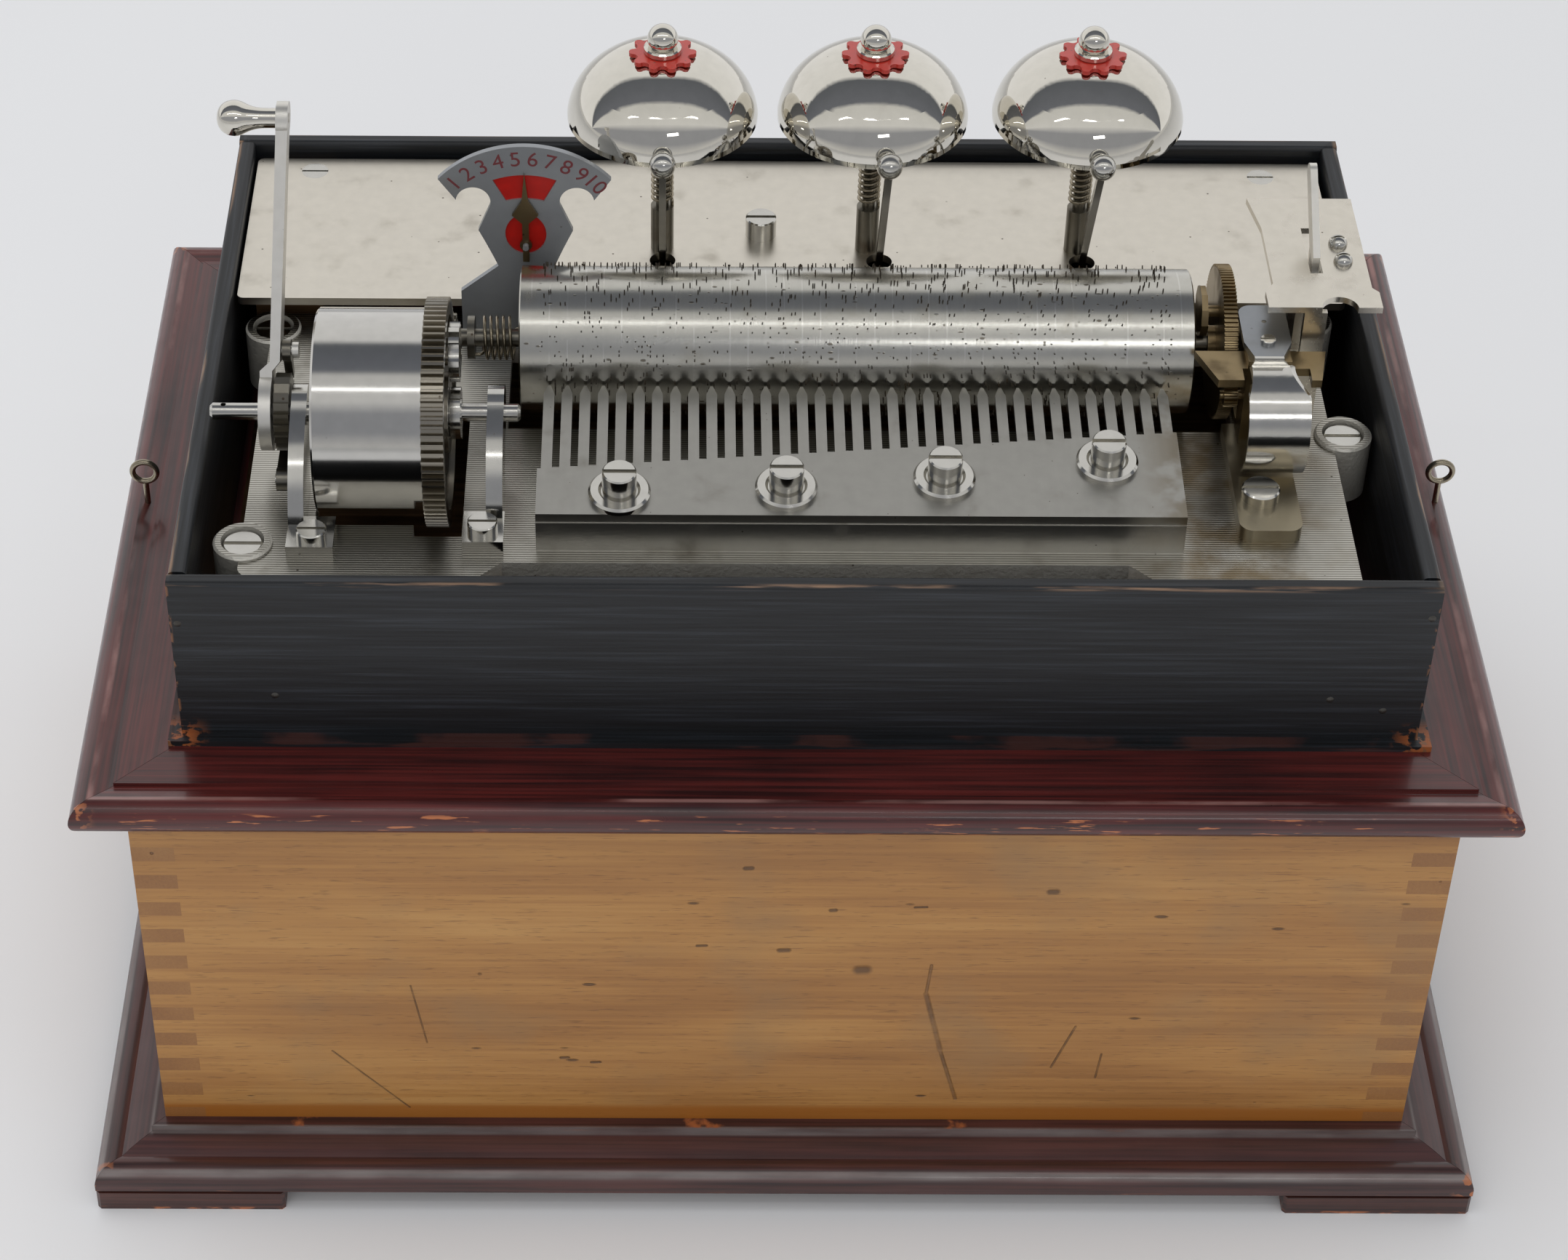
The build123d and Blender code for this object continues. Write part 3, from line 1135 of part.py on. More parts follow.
return_tail = 2 * RETURN_WIRE_R
return_length = CYLINDER_X[0] - COLLAR_X[1]
return_pitch = (return_length - 2 * return_tail - 2 * COIL_RISE_IN) / RETURN_TURNS
return_stations = coil_stations(
    RETURN_COIL_R, return_pitch, RETURN_TURNS, return_tail, RETURN_TURN_IN, COIL_RISE_IN
)
return_wire, return_gap = wound_wire(return_stations, RETURN_WIRE_R, RETURN_TURNS)
with BuildPart() as cylinder_spring:
    with Locations(Location((COLLAR_X[1], CYLINDER_Y, CYLINDER_Z), (0, 90, 0))):
        add(return_wire)
cylinder_spring.part.label = "cylinder_spring"
export_step(cylinder_spring.part, "parts/cylinder_spring.step")
print("least gap of the return spring to itself", return_gap)

# ---- comb, its base, washers and screws, in the plane of the comb top ----
comb_plane = Plane(
    origin=(0, COMB_TIP_Y, COMB_TIP_Z), x_dir=(1, 0, 0), z_dir=(0, -sin(comb_slope), cos(comb_slope))
)
comb_centre_x = (COMB_X[0] + COMB_X[1]) / 2
with BuildPart() as comb:
    with BuildSketch(comb_plane):
        Polygon((COMB_X[0], -comb_long), (COMB_X[1], -comb_long), (COMB_X[1], 0), (COMB_X[0], 0))
        for place_x, place_y in COMB_PLACES:
            with Locations((place_x, (place_y - COMB_TIP_Y) / cos(comb_slope))):
                Circle(COMB_HOLE_R, mode=Mode.SUBTRACT)
        for tooth in range(COMB_TEETH + 1):
            line_x = COMB_X[0] + tooth * tooth_pitch
            root_y = -TOOTH_LONG + (TOOTH_LONG - TOOTH_SHORT) * tooth / COMB_TEETH
            tip_w = (tooth_pitch - TIP_W) / 2
            Polygon(
                (line_x - SLOT_W / 2, root_y),
                (line_x + SLOT_W / 2, root_y),
                (line_x + SLOT_W / 2, -TIP_TAPER),
                (line_x + tip_w, 0),
                (line_x - tip_w, 0),
                (line_x - SLOT_W / 2, -TIP_TAPER),
                mode=Mode.SUBTRACT,
            )
    extrude(amount=-COMB_T)
    with BuildSketch(comb_plane.offset(-COMB_T)):
        Polygon(
            (COMB_X[0], -TOOTH_LONG),
            (COMB_X[1], -TOOTH_SHORT),
            (COMB_X[1], 0),
            (COMB_X[0], 0),
        )
    extrude(amount=COMB_T - TOOTH_T, mode=Mode.SUBTRACT)
comb.part.label = "comb"
export_step(comb.part, "parts/comb.step")

comb_shank_down = COMB_SHANK + WASHER_T - WASHER_DISH
with BuildPart() as comb_base:
    with BuildSketch(Plane.XY.offset(BED_TOP)):
        Polygon(
            (COMB_X[0], COMB_FRONT_Y),
            (COMB_X[1], COMB_FRONT_Y),
            (COMB_X[1], COMB_TIP_Y - TOOTH_SHORT - BASE_BACK),
            (COMB_X[0], COMB_TIP_Y - TOOTH_LONG - BASE_BACK),
        )
    extrude(amount=COMB_TIP_Z - BED_TOP)
    with BuildSketch(comb_plane.offset(-COMB_T)):
        with Locations((comb_centre_x, -comb_long / 2)):
            Rectangle(2 * (COMB_X[1] - COMB_X[0]), 2 * comb_long)
    extrude(amount=COMB_TIP_Z - BED_TOP, mode=Mode.SUBTRACT)
    with BuildSketch(comb_plane.offset(-COMB_T)):
        for place_x, place_y in COMB_PLACES:
            with Locations((place_x, (place_y - COMB_TIP_Y) / cos(comb_slope))):
                Circle(COMB_HOLE_R)
    extrude(amount=COMB_T - COMB_SHANK, mode=Mode.SUBTRACT)
comb_base.part.label = "comb_base"
export_step(comb_base.part, "parts/comb_base.step")

with BuildPart() as comb_washer:
    rod_z(0, 0, (0, WASHER_T), WASHER_R)
    chamfer(comb_washer.edges().filter_by(GeomType.CIRCLE).sort_by(Axis.Z)[-1], WASHER_T / 3)
    with Locations((0, 0, WASHER_T - WASHER_DISH / 2)):
        Cone(WASHER_DISH_R - WASHER_DISH, WASHER_DISH_R, WASHER_DISH, mode=Mode.SUBTRACT)
    rod_z(0, 0, (0, WASHER_T), COMB_HOLE_R, Mode.SUBTRACT)
with BuildPart() as comb_screw:
    slotted_head(COMB_HEAD_R, COMB_HEAD_H, COMB_SCREW_SLOT)
    rod_z(0, 0, (-comb_shank_down, 0), COMB_HOLE_R)
comb_seats = [
    comb_plane.location * Location((place_x, (place_y - COMB_TIP_Y) / cos(comb_slope), 0))
    for place_x, place_y in COMB_PLACES
]
with BuildPart() as comb_washers:
    for seat in comb_seats:
        with Locations(seat):
            add(comb_washer.part)
comb_washers.part.label = "comb_washers"
export_step(comb_washers.part, "parts/comb_washers.step")
with BuildPart() as comb_screws:
    for seat in comb_seats:
        with Locations(seat * Location((0, 0, WASHER_T - WASHER_DISH))):
            add(comb_screw.part)
comb_screws.part.label = "comb_screws"
export_step(comb_screws.part, "parts/comb_screws.step")

# ---- deck with its blocks and screws ----
deck_countersink = DECK_SCREW_R - DECK_SHANK_R
with BuildPart() as deck_plate:
    block(DECK_X, DECK_Y, (deck_under, DECK_TOP))
    fillet(deck_plate.edges().filter_by(Axis.Z), DECK_CORNER)
    for hammer_x in HAMMER_X:
        rod_z(hammer_x, HAMMER_HOLE_Y, (deck_under, DECK_TOP), HAMMER_HOLE_R, Mode.SUBTRACT)
    for bell_x in BELL_X:
        rod_z(bell_x, BELL_Y, (deck_under, DECK_TOP), POST_R, Mode.SUBTRACT)
    rod_z(TALL_SCREW[0], TALL_SCREW[1], (deck_under, DECK_TOP), DECK_SHANK_R, Mode.SUBTRACT)
    for place_x, place_y in DECK_SCREWS:
        rod_z(place_x, place_y, (deck_under, DECK_TOP), DECK_SHANK_R, Mode.SUBTRACT)
        with Locations((place_x, place_y, DECK_TOP - deck_countersink / 2)):
            Cone(DECK_SHANK_R, DECK_SCREW_R, deck_countersink, mode=Mode.SUBTRACT)
deck_plate.part.label = "deck_plate"
export_step(deck_plate.part, "parts/deck_plate.step")

with BuildPart() as deck_blocks:
    for side_x in BLOCK_X:
        block(side_x, (BLOCK_Y[0], flange_y / 2 - FLANGE_W - APART), (case_top, step_top + APART))
        block(side_x, BLOCK_Y, (step_top + APART, deck_under))
    for place_x, place_y in DECK_SCREWS:
        rod_z(place_x, place_y, (DECK_TOP - DECK_SHANK, deck_under), DECK_SHANK_R, Mode.SUBTRACT)
deck_blocks.part.label = "deck_blocks"
export_step(deck_blocks.part, "parts/deck_blocks.step")

with BuildPart() as sunk_screw:
    rod_z(0, 0, (-DECK_SHANK, -deck_countersink), DECK_SHANK_R)
    with Locations((0, 0, -deck_countersink / 2)):
        Cone(DECK_SHANK_R, DECK_SCREW_R, deck_countersink)
    block((-DECK_SCREW_R, DECK_SCREW_R), (-APART, APART), (-2 * APART, 0), Mode.SUBTRACT)
with BuildPart() as tall_screw:
    slotted_head(TALL_HEAD_R, TALL_HEAD_H, TALL_SLOT)
    rod_z(0, 0, (-DECK_SHANK / 2, 0), DECK_SHANK_R)
with BuildPart() as deck_screws:
    for place_x, place_y in DECK_SCREWS:
        with Locations((place_x, place_y, DECK_TOP)):
            add(sunk_screw.part)
    with Locations((TALL_SCREW[0], TALL_SCREW[1], DECK_TOP)):
        add(tall_screw.part)
deck_screws.part.label = "deck_screws"
export_step(deck_screws.part, "parts/deck_screws.step")

# ---- bells on their posts ----
bell_places = [(bell_x, BELL_Y, 0) for bell_x in BELL_X]
with BuildPart() as one_bell:
    with BuildSketch(Plane.XZ):
        with BuildLine():
            Polyline(
                (POST_R, bell_inner_top),
                (POST_R, bell_top),
                (BELL_CROWN_R, bell_top),
            )
            shoulder = (BELL_SHOULDER[0], BELL_RIM_Z + BELL_SHOULDER[1])
            crown_arc = TangentArc((BELL_CROWN_R, bell_top), shoulder, tangent=(1, 0))
            TangentArc(shoulder, (BELL_R, BELL_RIM_Z + BELL_LIP), tangent=crown_arc % 1)
            Polyline(
                (BELL_R, BELL_RIM_Z + BELL_LIP),
                (BELL_R, BELL_RIM_Z),
                (BELL_R - BELL_T, BELL_RIM_Z),
            )
            under_in = BELL_T * sin(pi / 4)
            under = (shoulder[0] - under_in, shoulder[1] - under_in)
            under_arc = TangentArc((BELL_CROWN_R, bell_inner_top), under, tangent=(1, 0))
            TangentArc(under, (BELL_R - BELL_T, BELL_RIM_Z), tangent=under_arc % 1)
            Line((BELL_CROWN_R, bell_inner_top), (POST_R, bell_inner_top))
        make_face()
    revolve(axis=Axis.Z)
with BuildPart() as bells:
    with Locations(*bell_places):
        add(one_bell.part)
bells.part.label = "bells"
export_step(bells.part, "parts/bells.step")

coil_tail = 2 * BELL_WIRE_R
coil_height = BELL_COIL_TURNS * BELL_COIL_PITCH + 2 * coil_tail + 2 * COIL_RISE_IN
coil_low = DECK_TOP + POST_SLEEVE_H
nut_seat = bell_top + RED_WASHER_T
with BuildPart() as one_post:
    rod_z(0, 0, (deck_under, nut_seat + NUT_COLLAR_H), POST_R)
    rod_z(0, 0, (DECK_TOP, coil_low), POST_SLEEVE_R)
    rod_z(0, 0, (coil_low + coil_height, coil_low + coil_height + POST_COLLAR_H / 2), POST_SLEEVE_R)
    rod_z(0, 0, (bell_inner_top - POST_COLLAR_H, bell_inner_top), POST_COLLAR_R)
with BuildPart() as bell_posts:
    with Locations(*bell_places):
        add(one_post.part)
bell_posts.part.label = "bell_posts"
export_step(bell_posts.part, "parts/bell_posts.step")

bell_stations = coil_stations(
    BELL_COIL_R, BELL_COIL_PITCH, BELL_COIL_TURNS, coil_tail, BELL_TURN_IN, COIL_RISE_IN
)
bell_wire, bell_gap = wound_wire(bell_stations, BELL_WIRE_R, BELL_COIL_TURNS)
with BuildPart() as bell_springs:
    with Locations(*[(bell_x, BELL_Y, coil_low) for bell_x in BELL_X]):
        add(bell_wire)
bell_springs.part.label = "bell_springs"
export_step(bell_springs.part, "parts/bell_springs.step")
print("least gap of a bell spring to itself", bell_gap)

with BuildPart() as one_red_washer:
    with BuildSketch(Plane.XY.offset(bell_top)):
        Circle(RED_WASHER_R)
        with PolarLocations(RED_WASHER_R, RED_LOBES):
            Circle(RED_LOBE_R)
        with PolarLocations(RED_WASHER_R + RED_LOBE_R / 2, RED_LOBES, start_angle=180 / RED_LOBES):
            Circle(RED_LOBE_R, mode=Mode.SUBTRACT)
        Circle(POST_R, mode=Mode.SUBTRACT)
    extrude(amount=RED_WASHER_T)
with BuildPart() as bell_washers:
    with Locations(*bell_places):
        add(one_red_washer.part)
bell_washers.part.label = "bell_washers"
export_step(bell_washers.part, "parts/bell_washers.step")

nut_ball_z = nut_seat + NUT_COLLAR_H + NUT_BALL_R / 2
with BuildPart() as one_nut:
    rod_z(0, 0, (nut_seat, nut_seat + NUT_COLLAR_H), NUT_COLLAR_R)
    chamfer(one_nut.edges().filter_by(GeomType.CIRCLE), APART)
    with Locations((0, 0, nut_ball_z)):
        Sphere(NUT_BALL_R)
    ball_box = (-NUT_BALL_R, NUT_BALL_R)
    block(ball_box, ball_box, (nut_seat - NUT_BALL_R, nut_seat), Mode.SUBTRACT)
    rod_z(0, 0, (nut_seat, nut_seat + NUT_COLLAR_H), POST_R, Mode.SUBTRACT)
with BuildPart() as bell_nuts:
    with Locations(*bell_places):
        add(one_nut.part)
bell_nuts.part.label = "bell_nuts"
export_step(bell_nuts.part, "parts/bell_nuts.step")

# ---- hammer rail below the deck and the three hammers ----
with BuildPart() as hammer_rail:
    rod_x(RAIL_X, HAMMER_PIVOT_Y, HAMMER_PIVOT_Z, RAIL_R)
    for post_x in RAIL_X:
        post_side = (post_x - RAIL_POST_X / 2, post_x + RAIL_POST_X / 2)
        post_y = (HAMMER_PIVOT_Y - RAIL_POST_Y / 2, HAMMER_PIVOT_Y + RAIL_POST_Y / 2)
        block(post_side, post_y, (case_top, deck_under))
hammer_rail.part.label = "hammer_rail"
export_step(hammer_rail.part, "parts/hammer_rail.step")

with BuildPart() as hammer_upright:
    rod_x((-HAMMER_HUB_W / 2, HAMMER_HUB_W / 2), 0, 0, HAMMER_HUB_R)
    block(
        (-HAMMER_STEM[0] / 2, HAMMER_STEM[0] / 2),
        (-HAMMER_STEM[1] / 2, HAMMER_STEM[1] / 2),
        (0, hammer_long),
    )
    block(
        (-HAMMER_STEM[0] / 2, HAMMER_STEM[0] / 2),
        (-HAMMER_TAIL, 0),
        (-HAMMER_STEM[1] / 2, HAMMER_STEM[1] / 2),
    )
    with Locations((0, 0, hammer_long)):
        Sphere(HAMMER_BALL_R)
    rod_x((-HAMMER_HUB_W / 2, HAMMER_HUB_W / 2), 0, 0, RAIL_R + RUN, Mode.SUBTRACT)
hammer_turn = (hammer_lean, 0, 0)
with BuildPart() as hammer_1:
    with Locations(Location((HAMMER_X[0], HAMMER_PIVOT_Y, HAMMER_PIVOT_Z), hammer_turn)):
        add(hammer_upright.part)
hammer_1.part.label = "hammer_1"
export_step(hammer_1.part, "parts/hammer_1.step")
with BuildPart() as hammer_2:
    with Locations(Location((HAMMER_X[1], HAMMER_PIVOT_Y, HAMMER_PIVOT_Z), hammer_turn)):
        add(hammer_upright.part)
hammer_2.part.label = "hammer_2"
export_step(hammer_2.part, "parts/hammer_2.step")
with BuildPart() as hammer_3:
    with Locations(Location((HAMMER_X[2], HAMMER_PIVOT_Y, HAMMER_PIVOT_Z), hammer_turn)):
        add(hammer_upright.part)
hammer_3.part.label = "hammer_3"
export_step(hammer_3.part, "parts/hammer_3.step")

# ---- governor: frame, endstone plate, guard, wheel and worm ----
gov_foot_top = BED_TOP + GOV_FOOT_H
shelf_top = gov_foot_top + SHELF_T
frame_x = (CHEEK_LEFT_X[0], CHEEK_RIGHT_X[1])
with BuildPart() as governor_frame:
    block(GOV_FOOT_X, GOV_FOOT_Y, (BED_TOP, gov_foot_top))
    foot_corners = governor_frame.edges().filter_by(Axis.Z).group_by(Axis.Y)[0]
    fillet(foot_corners, GOV_FOOT_ROUND)
    for cheek_x in (CHEEK_LEFT_X, CHEEK_RIGHT_X):
        block(cheek_x, CHEEK_Y, (gov_foot_top, CHEEK_TOP))
        rod_x(cheek_x, GOV_ARBOR_Y, GOV_ARBOR_Z, GOV_ARBOR_R + RUN, Mode.SUBTRACT)
    block(frame_x, (CHEEK_Y[1], SHELF_BACK_Y), (gov_foot_top, shelf_top))
    block(frame_x, BRIDGE_Y, (BRIDGE_Z, CHEEK_TOP))
    with BuildSketch(Plane.XY.offset(BRIDGE_Z)):
        for cheek_side, wing_x in ((frame_x[0], LEFT_WING_X), (frame_x[1], RIGHT_WING_X)):
            Polygon(
                (cheek_side, WING_BACK_Y),
                (wing_x[0], WING_BACK_Y),
                (wing_x[1], WING_FRONT_Y),
                (wing_x[2], WING_FRONT_Y),
                (wing_x[2], BRIDGE_Y[0]),
                (cheek_side, BRIDGE_Y[0]),
            )
    extrude(amount=WING_T)
    rod_z(WORM_X, WORM_Y, (gov_foot_top, shelf_top), WORM_PIVOT_R + RUN, Mode.SUBTRACT)
    rod_z(WORM_X, ENDSTONE_SCREW_Y, (BRIDGE_Z, CHEEK_TOP), WORM_SHAFT_R, Mode.SUBTRACT)
    rod_z(GOV_SCREW[0], GOV_SCREW[1], (BED_TOP, gov_foot_top), MOVEMENT_SHANK_R, Mode.SUBTRACT)
governor_frame.part.label = "governor_frame"
export_step(governor_frame.part, "parts/governor_frame.step")

with BuildPart() as endstone_plate:
    with BuildSketch(Plane.XY.offset(CHEEK_TOP)):
        Polygon(
            (ENDSTONE_NECK_X[0], ENDSTONE_Y[0]),
            (ENDSTONE_NECK_X[1], ENDSTONE_Y[0]),
            (ENDSTONE_X[1], ENDSTONE_SHOULDER_Y),
            (ENDSTONE_X[1], ENDSTONE_Y[1]),
            (ENDSTONE_X[0], ENDSTONE_Y[1]),
            (ENDSTONE_X[0], ENDSTONE_SHOULDER_Y),
        )
    extrude(amount=ENDSTONE_TOP - CHEEK_TOP)
    fillet(endstone_plate.edges().filter_by(Axis.Z).group_by(Axis.Y)[-1], GOV_FOOT_ROUND)
    rod_z(WORM_X, WORM_Y, (CHEEK_TOP, ENDSTONE_TOP), WORM_PIVOT_R + RUN, Mode.SUBTRACT)
    rod_z(WORM_X, ENDSTONE_SCREW_Y, (CHEEK_TOP, ENDSTONE_TOP), WORM_SHAFT_R, Mode.SUBTRACT)
endstone_plate.part.label = "endstone_plate"
export_step(endstone_plate.part, "parts/endstone_plate.step")

guard_y = BRIDGE_Y[0] - GUARD_T / 2
with BuildPart() as governor_guard:
    with BuildSketch(Plane.YZ.offset(GUARD_X[0])):
        with BuildLine():
            Line((guard_y, ENDSTONE_TOP), (guard_y, GUARD_FOLD_Z))
            ThreePointArc((guard_y, GUARD_FOLD_Z), GUARD_BELLY, GUARD_END)
        trace(line_width=GUARD_T)
    extrude(amount=GUARD_X[1] - GUARD_X[0])
    with BuildSketch(Plane.XZ.offset(-GOV_FOOT_Y[1])):
        Polygon(
            (ENDSTONE_NECK_X[0], ENDSTONE_TOP),
            (ENDSTONE_NECK_X[1], ENDSTONE_TOP),
            (ENDSTONE_NECK_X[1], GUARD_NECK_Z),
            (GUARD_X[1], GUARD_SHOULDER_Z),
            (GUARD_X[1], BED_TOP),
            (GUARD_X[0], BED_TOP),
            (GUARD_X[0], GUARD_SHOULDER_Z),
            (ENDSTONE_NECK_X[0], GUARD_NECK_Z),
        )
    extrude(amount=GOV_FOOT_Y[1] - GOV_FOOT_Y[0], mode=Mode.INTERSECT)
governor_guard.part.label = "governor_guard"
export_step(governor_guard.part, "parts/governor_guard.step")

with BuildPart() as governor_wheel:
    rod_x(GOV_ARBOR_X, GOV_ARBOR_Y, GOV_ARBOR_Z, GOV_ARBOR_R)
    with BuildSketch(Plane.YZ.offset(CYL_WHEEL_X[0])):
        with Locations((GOV_ARBOR_Y, GOV_ARBOR_Z)):
            Polygon(*gear_points(GOV_PINION_TEETH, gov_module, gov_angle + 180 + 180 / GOV_PINION_TEETH))
    extrude(amount=CYL_WHEEL_X[1] - CYL_WHEEL_X[0])
    worm_module = 2 * WORM_WHEEL_R / (WORM_WHEEL_TEETH + 2 * ADDENDUM)
    with BuildSketch(Plane.YZ.offset(WORM_WHEEL_X[0])):
        with Locations((GOV_ARBOR_Y, GOV_ARBOR_Z)):
            Polygon(*gear_points(WORM_WHEEL_TEETH, worm_module, 0))
    extrude(amount=WORM_WHEEL_X[1] - WORM_WHEEL_X[0])
governor_wheel.part.label = "governor_wheel"
export_step(governor_wheel.part, "parts/governor_wheel.step")

worm_ends = (shelf_top + RUN, CHEEK_TOP - RUN)
with BuildPart() as worm_fly:
    rod_z(WORM_X, WORM_Y, (gov_foot_top + RUN, ENDSTONE_TOP - RUN), WORM_PIVOT_R)
    rod_z(WORM_X, WORM_Y, worm_ends, WORM_SHAFT_R)
    rod_z(WORM_X, WORM_Y, WORM_Z, WORM_R)
    block((WORM_X - FLY_SPAN / 2, WORM_X + FLY_SPAN / 2), (WORM_Y - FLY_T / 2, WORM_Y + FLY_T / 2), FLY_Z)
worm_fly.part.label = "worm_fly"
export_step(worm_fly.part, "parts/worm_fly.step")

# ---- control plate, its screws and the stop lever ----
control_under = CONTROL_TOP - CONTROL_T
control_back_leg_y = (CONTROL_LEG_BACK_Y, CONTROL_LEG_BACK_Y + CONTROL_T)
control_front_leg_y = (CONTROL_Y[0], CONTROL_Y[0] + CONTROL_T)
arch_x = (CONTROL_LEFT_X + CONTROL_RIGHT_X) / 2
with BuildPart() as control_plate:
    with BuildSketch(Plane.XY.offset(control_under)):
        with BuildLine():
            Polyline(
                (CONTROL_WAIST_X, CONTROL_WAIST_Y[1]),
                (CONTROL_WAIST_X, CONTROL_WAIST_Y[0]),
                (CONTROL_LEFT_X, CONTROL_FLARE_Y),
                (CONTROL_LEFT_X, CONTROL_Y[0]),
                (CONTROL_FRONT_X, CONTROL_Y[0]),
                (CONTROL_FRONT_X, CONTROL_FLARE_Y),
                (CONTROL_RIGHT_X, CONTROL_WAIST_Y[0] - CONTROL_T),
                (CONTROL_RIGHT_X, CONTROL_Y[1]),
                (CONTROL_LEFT_X, CONTROL_Y[1]),
                (CONTROL_WAIST_X, CONTROL_WAIST_Y[1]),
            )
        make_face()
        with Locations((arch_x + CONTROL_ARCH_R, CONTROL_Y[0])):
            Circle(CONTROL_ARCH_R, mode=Mode.SUBTRACT)
    extrude(amount=CONTROL_T)
    block(CONTROL_SLOT_X, CONTROL_SLOT_Y, (control_under, CONTROL_TOP), Mode.SUBTRACT)
    for place_x, place_y in CONTROL_SCREWS:
        rod_z(place_x, place_y, (control_under, CONTROL_TOP), WORM_SHAFT_R, Mode.SUBTRACT)
    block(CONTROL_LEG_BACK_X, control_back_leg_y, (BED_TOP, control_under))
    block(CONTROL_LEG_FRONT_X, control_front_leg_y, (BED_TOP, control_under))
    block(CONTROL_TAB_X, CONTROL_TAB_Y, (CONTROL_TAB_Z, control_under))
    rod_x((CONTROL_TAB_X[1], STOP_LEVER_X[1] + APART), STOP_PIVOT_Y, STOP_PIVOT_Z, STOP_PIVOT_R)
control_plate.part.label = "control_plate"
export_step(control_plate.part, "parts/control_plate.step")

with BuildPart() as control_screw:
    Sphere(CONTROL_HEAD_R)
    head_box = (-CONTROL_HEAD_R, CONTROL_HEAD_R)
    block(head_box, head_box, (-CONTROL_HEAD_R, 0), Mode.SUBTRACT)
    slot_z = (CONTROL_HEAD_R - CONTROL_SLOT_DEEP, CONTROL_HEAD_R)
    block(head_box, (-APART, APART), slot_z, Mode.SUBTRACT)
    rod_z(0, 0, (-CONTROL_T, 0), WORM_SHAFT_R)
with BuildPart() as control_screws:
    for place_x, place_y in CONTROL_SCREWS:
        with Locations((place_x, place_y, CONTROL_TOP)):
            add(control_screw.part)
control_screws.part.label = "control_screws"
export_step(control_screws.part, "parts/control_screws.step")

with BuildPart() as stop_lever:
    with BuildSketch(Plane.YZ.offset(STOP_LEVER_X[0])):
        with BuildLine():
            Polyline(
                (STOP_PIVOT_Y, STOP_PIVOT_Z),
                (STOP_PIVOT_Y, CONTROL_TOP + STOP_LEVER_LEAN),
                STOP_LEVER_END,
            )
        trace(line_width=STOP_LEVER_W)
        with Locations((STOP_PIVOT_Y, STOP_PIVOT_Z)):
            Circle(STOP_HUB_R)
        with Locations(STOP_LEVER_END):
            Circle(STOP_LEVER_W / 2)
        with Locations((STOP_PIVOT_Y, STOP_PIVOT_Z)):
            Circle(STOP_PIVOT_R + RUN, mode=Mode.SUBTRACT)
    extrude(amount=STOP_LEVER_X[1] - STOP_LEVER_X[0])
stop_lever.part.label = "stop_lever"
export_step(stop_lever.part, "parts/stop_lever.step")

# ---- tune indicator ----
def dial_side(hand):
    """One side of the dial's outline, from the end of its number band down to its neck."""
    end, under, scoop, side, ear, hollow, neck = (
        (DIAL_X + hand * point[0], point[1])
        for point in (DIAL_END, DIAL_UNDER, DIAL_SCOOP_TOP, DIAL_SCOOP_SIDE, DIAL_EAR, DIAL_HOLLOW, DIAL_NECK)
    )
    Line(end, under)
    ThreePointArc(under, scoop, side)
    Line(side, ear)
    ThreePointArc(ear, hollow, neck)


with BuildPart() as indicator_dial:
    with BuildSketch(Plane.XZ.offset(-DIAL_Y - DIAL_T)):
        with BuildLine():
            dial_side(-1)
            Polyline(
                (DIAL_X - DIAL_NECK[0], DIAL_NECK[1]),
                (DIAL_X - DIAL_FOOT[0], DIAL_FOOT[1]),
                (DIAL_X - DIAL_FOOT[0], BED_TOP),
                (DIAL_X + DIAL_NECK[0], BED_TOP),
                (DIAL_X + DIAL_NECK[0], DIAL_NECK[1]),
            )
            dial_side(1)
            ThreePointArc(
                (DIAL_X + DIAL_END[0], DIAL_END[1]),
                (DIAL_X, DIAL_ARC_TOP),
                (DIAL_X - DIAL_END[0], DIAL_END[1]),
            )
        make_face()
    extrude(amount=DIAL_T)
    with BuildSketch(Plane.XZ.offset(-DIAL_Y - DIAL_RED_DEEP)):
        with BuildLine():
            window_left, low_left, low_right, window_right = (
                (DIAL_X - DIAL_WINDOW[0][0], DIAL_WINDOW[0][1]),
                (DIAL_X - DIAL_WINDOW[1][0], DIAL_WINDOW[1][1]),
                (DIAL_X + DIAL_WINDOW[1][0], DIAL_WINDOW[1][1]),
                (DIAL_X + DIAL_WINDOW[0][0], DIAL_WINDOW[0][1]),
            )
            Line(window_left, low_left)
            ThreePointArc(low_left, (DIAL_X, DIAL_WINDOW_BOW[1]), low_right)
            Line(low_right, window_right)
            ThreePointArc(window_right, (DIAL_X, DIAL_WINDOW_BOW[0]), window_left)
        make_face()
        with Locations((DIAL_X, DIAL_OVAL_Z)):
            Ellipse(*DIAL_OVAL)
    extrude(amount=DIAL_RED_DEEP, mode=Mode.SUBTRACT)
    with Locations(Location((DIAL_X, DIAL_Y - POINTER_T / 2, POINTER_PIVOT_Z), (90, 0, 0))):
        Cylinder(POINTER_STUD_R, POINTER_T + 2 * DIAL_T)
indicator_dial.part.label = "indicator_dial"
export_step(indicator_dial.part, "parts/indicator_dial.step")

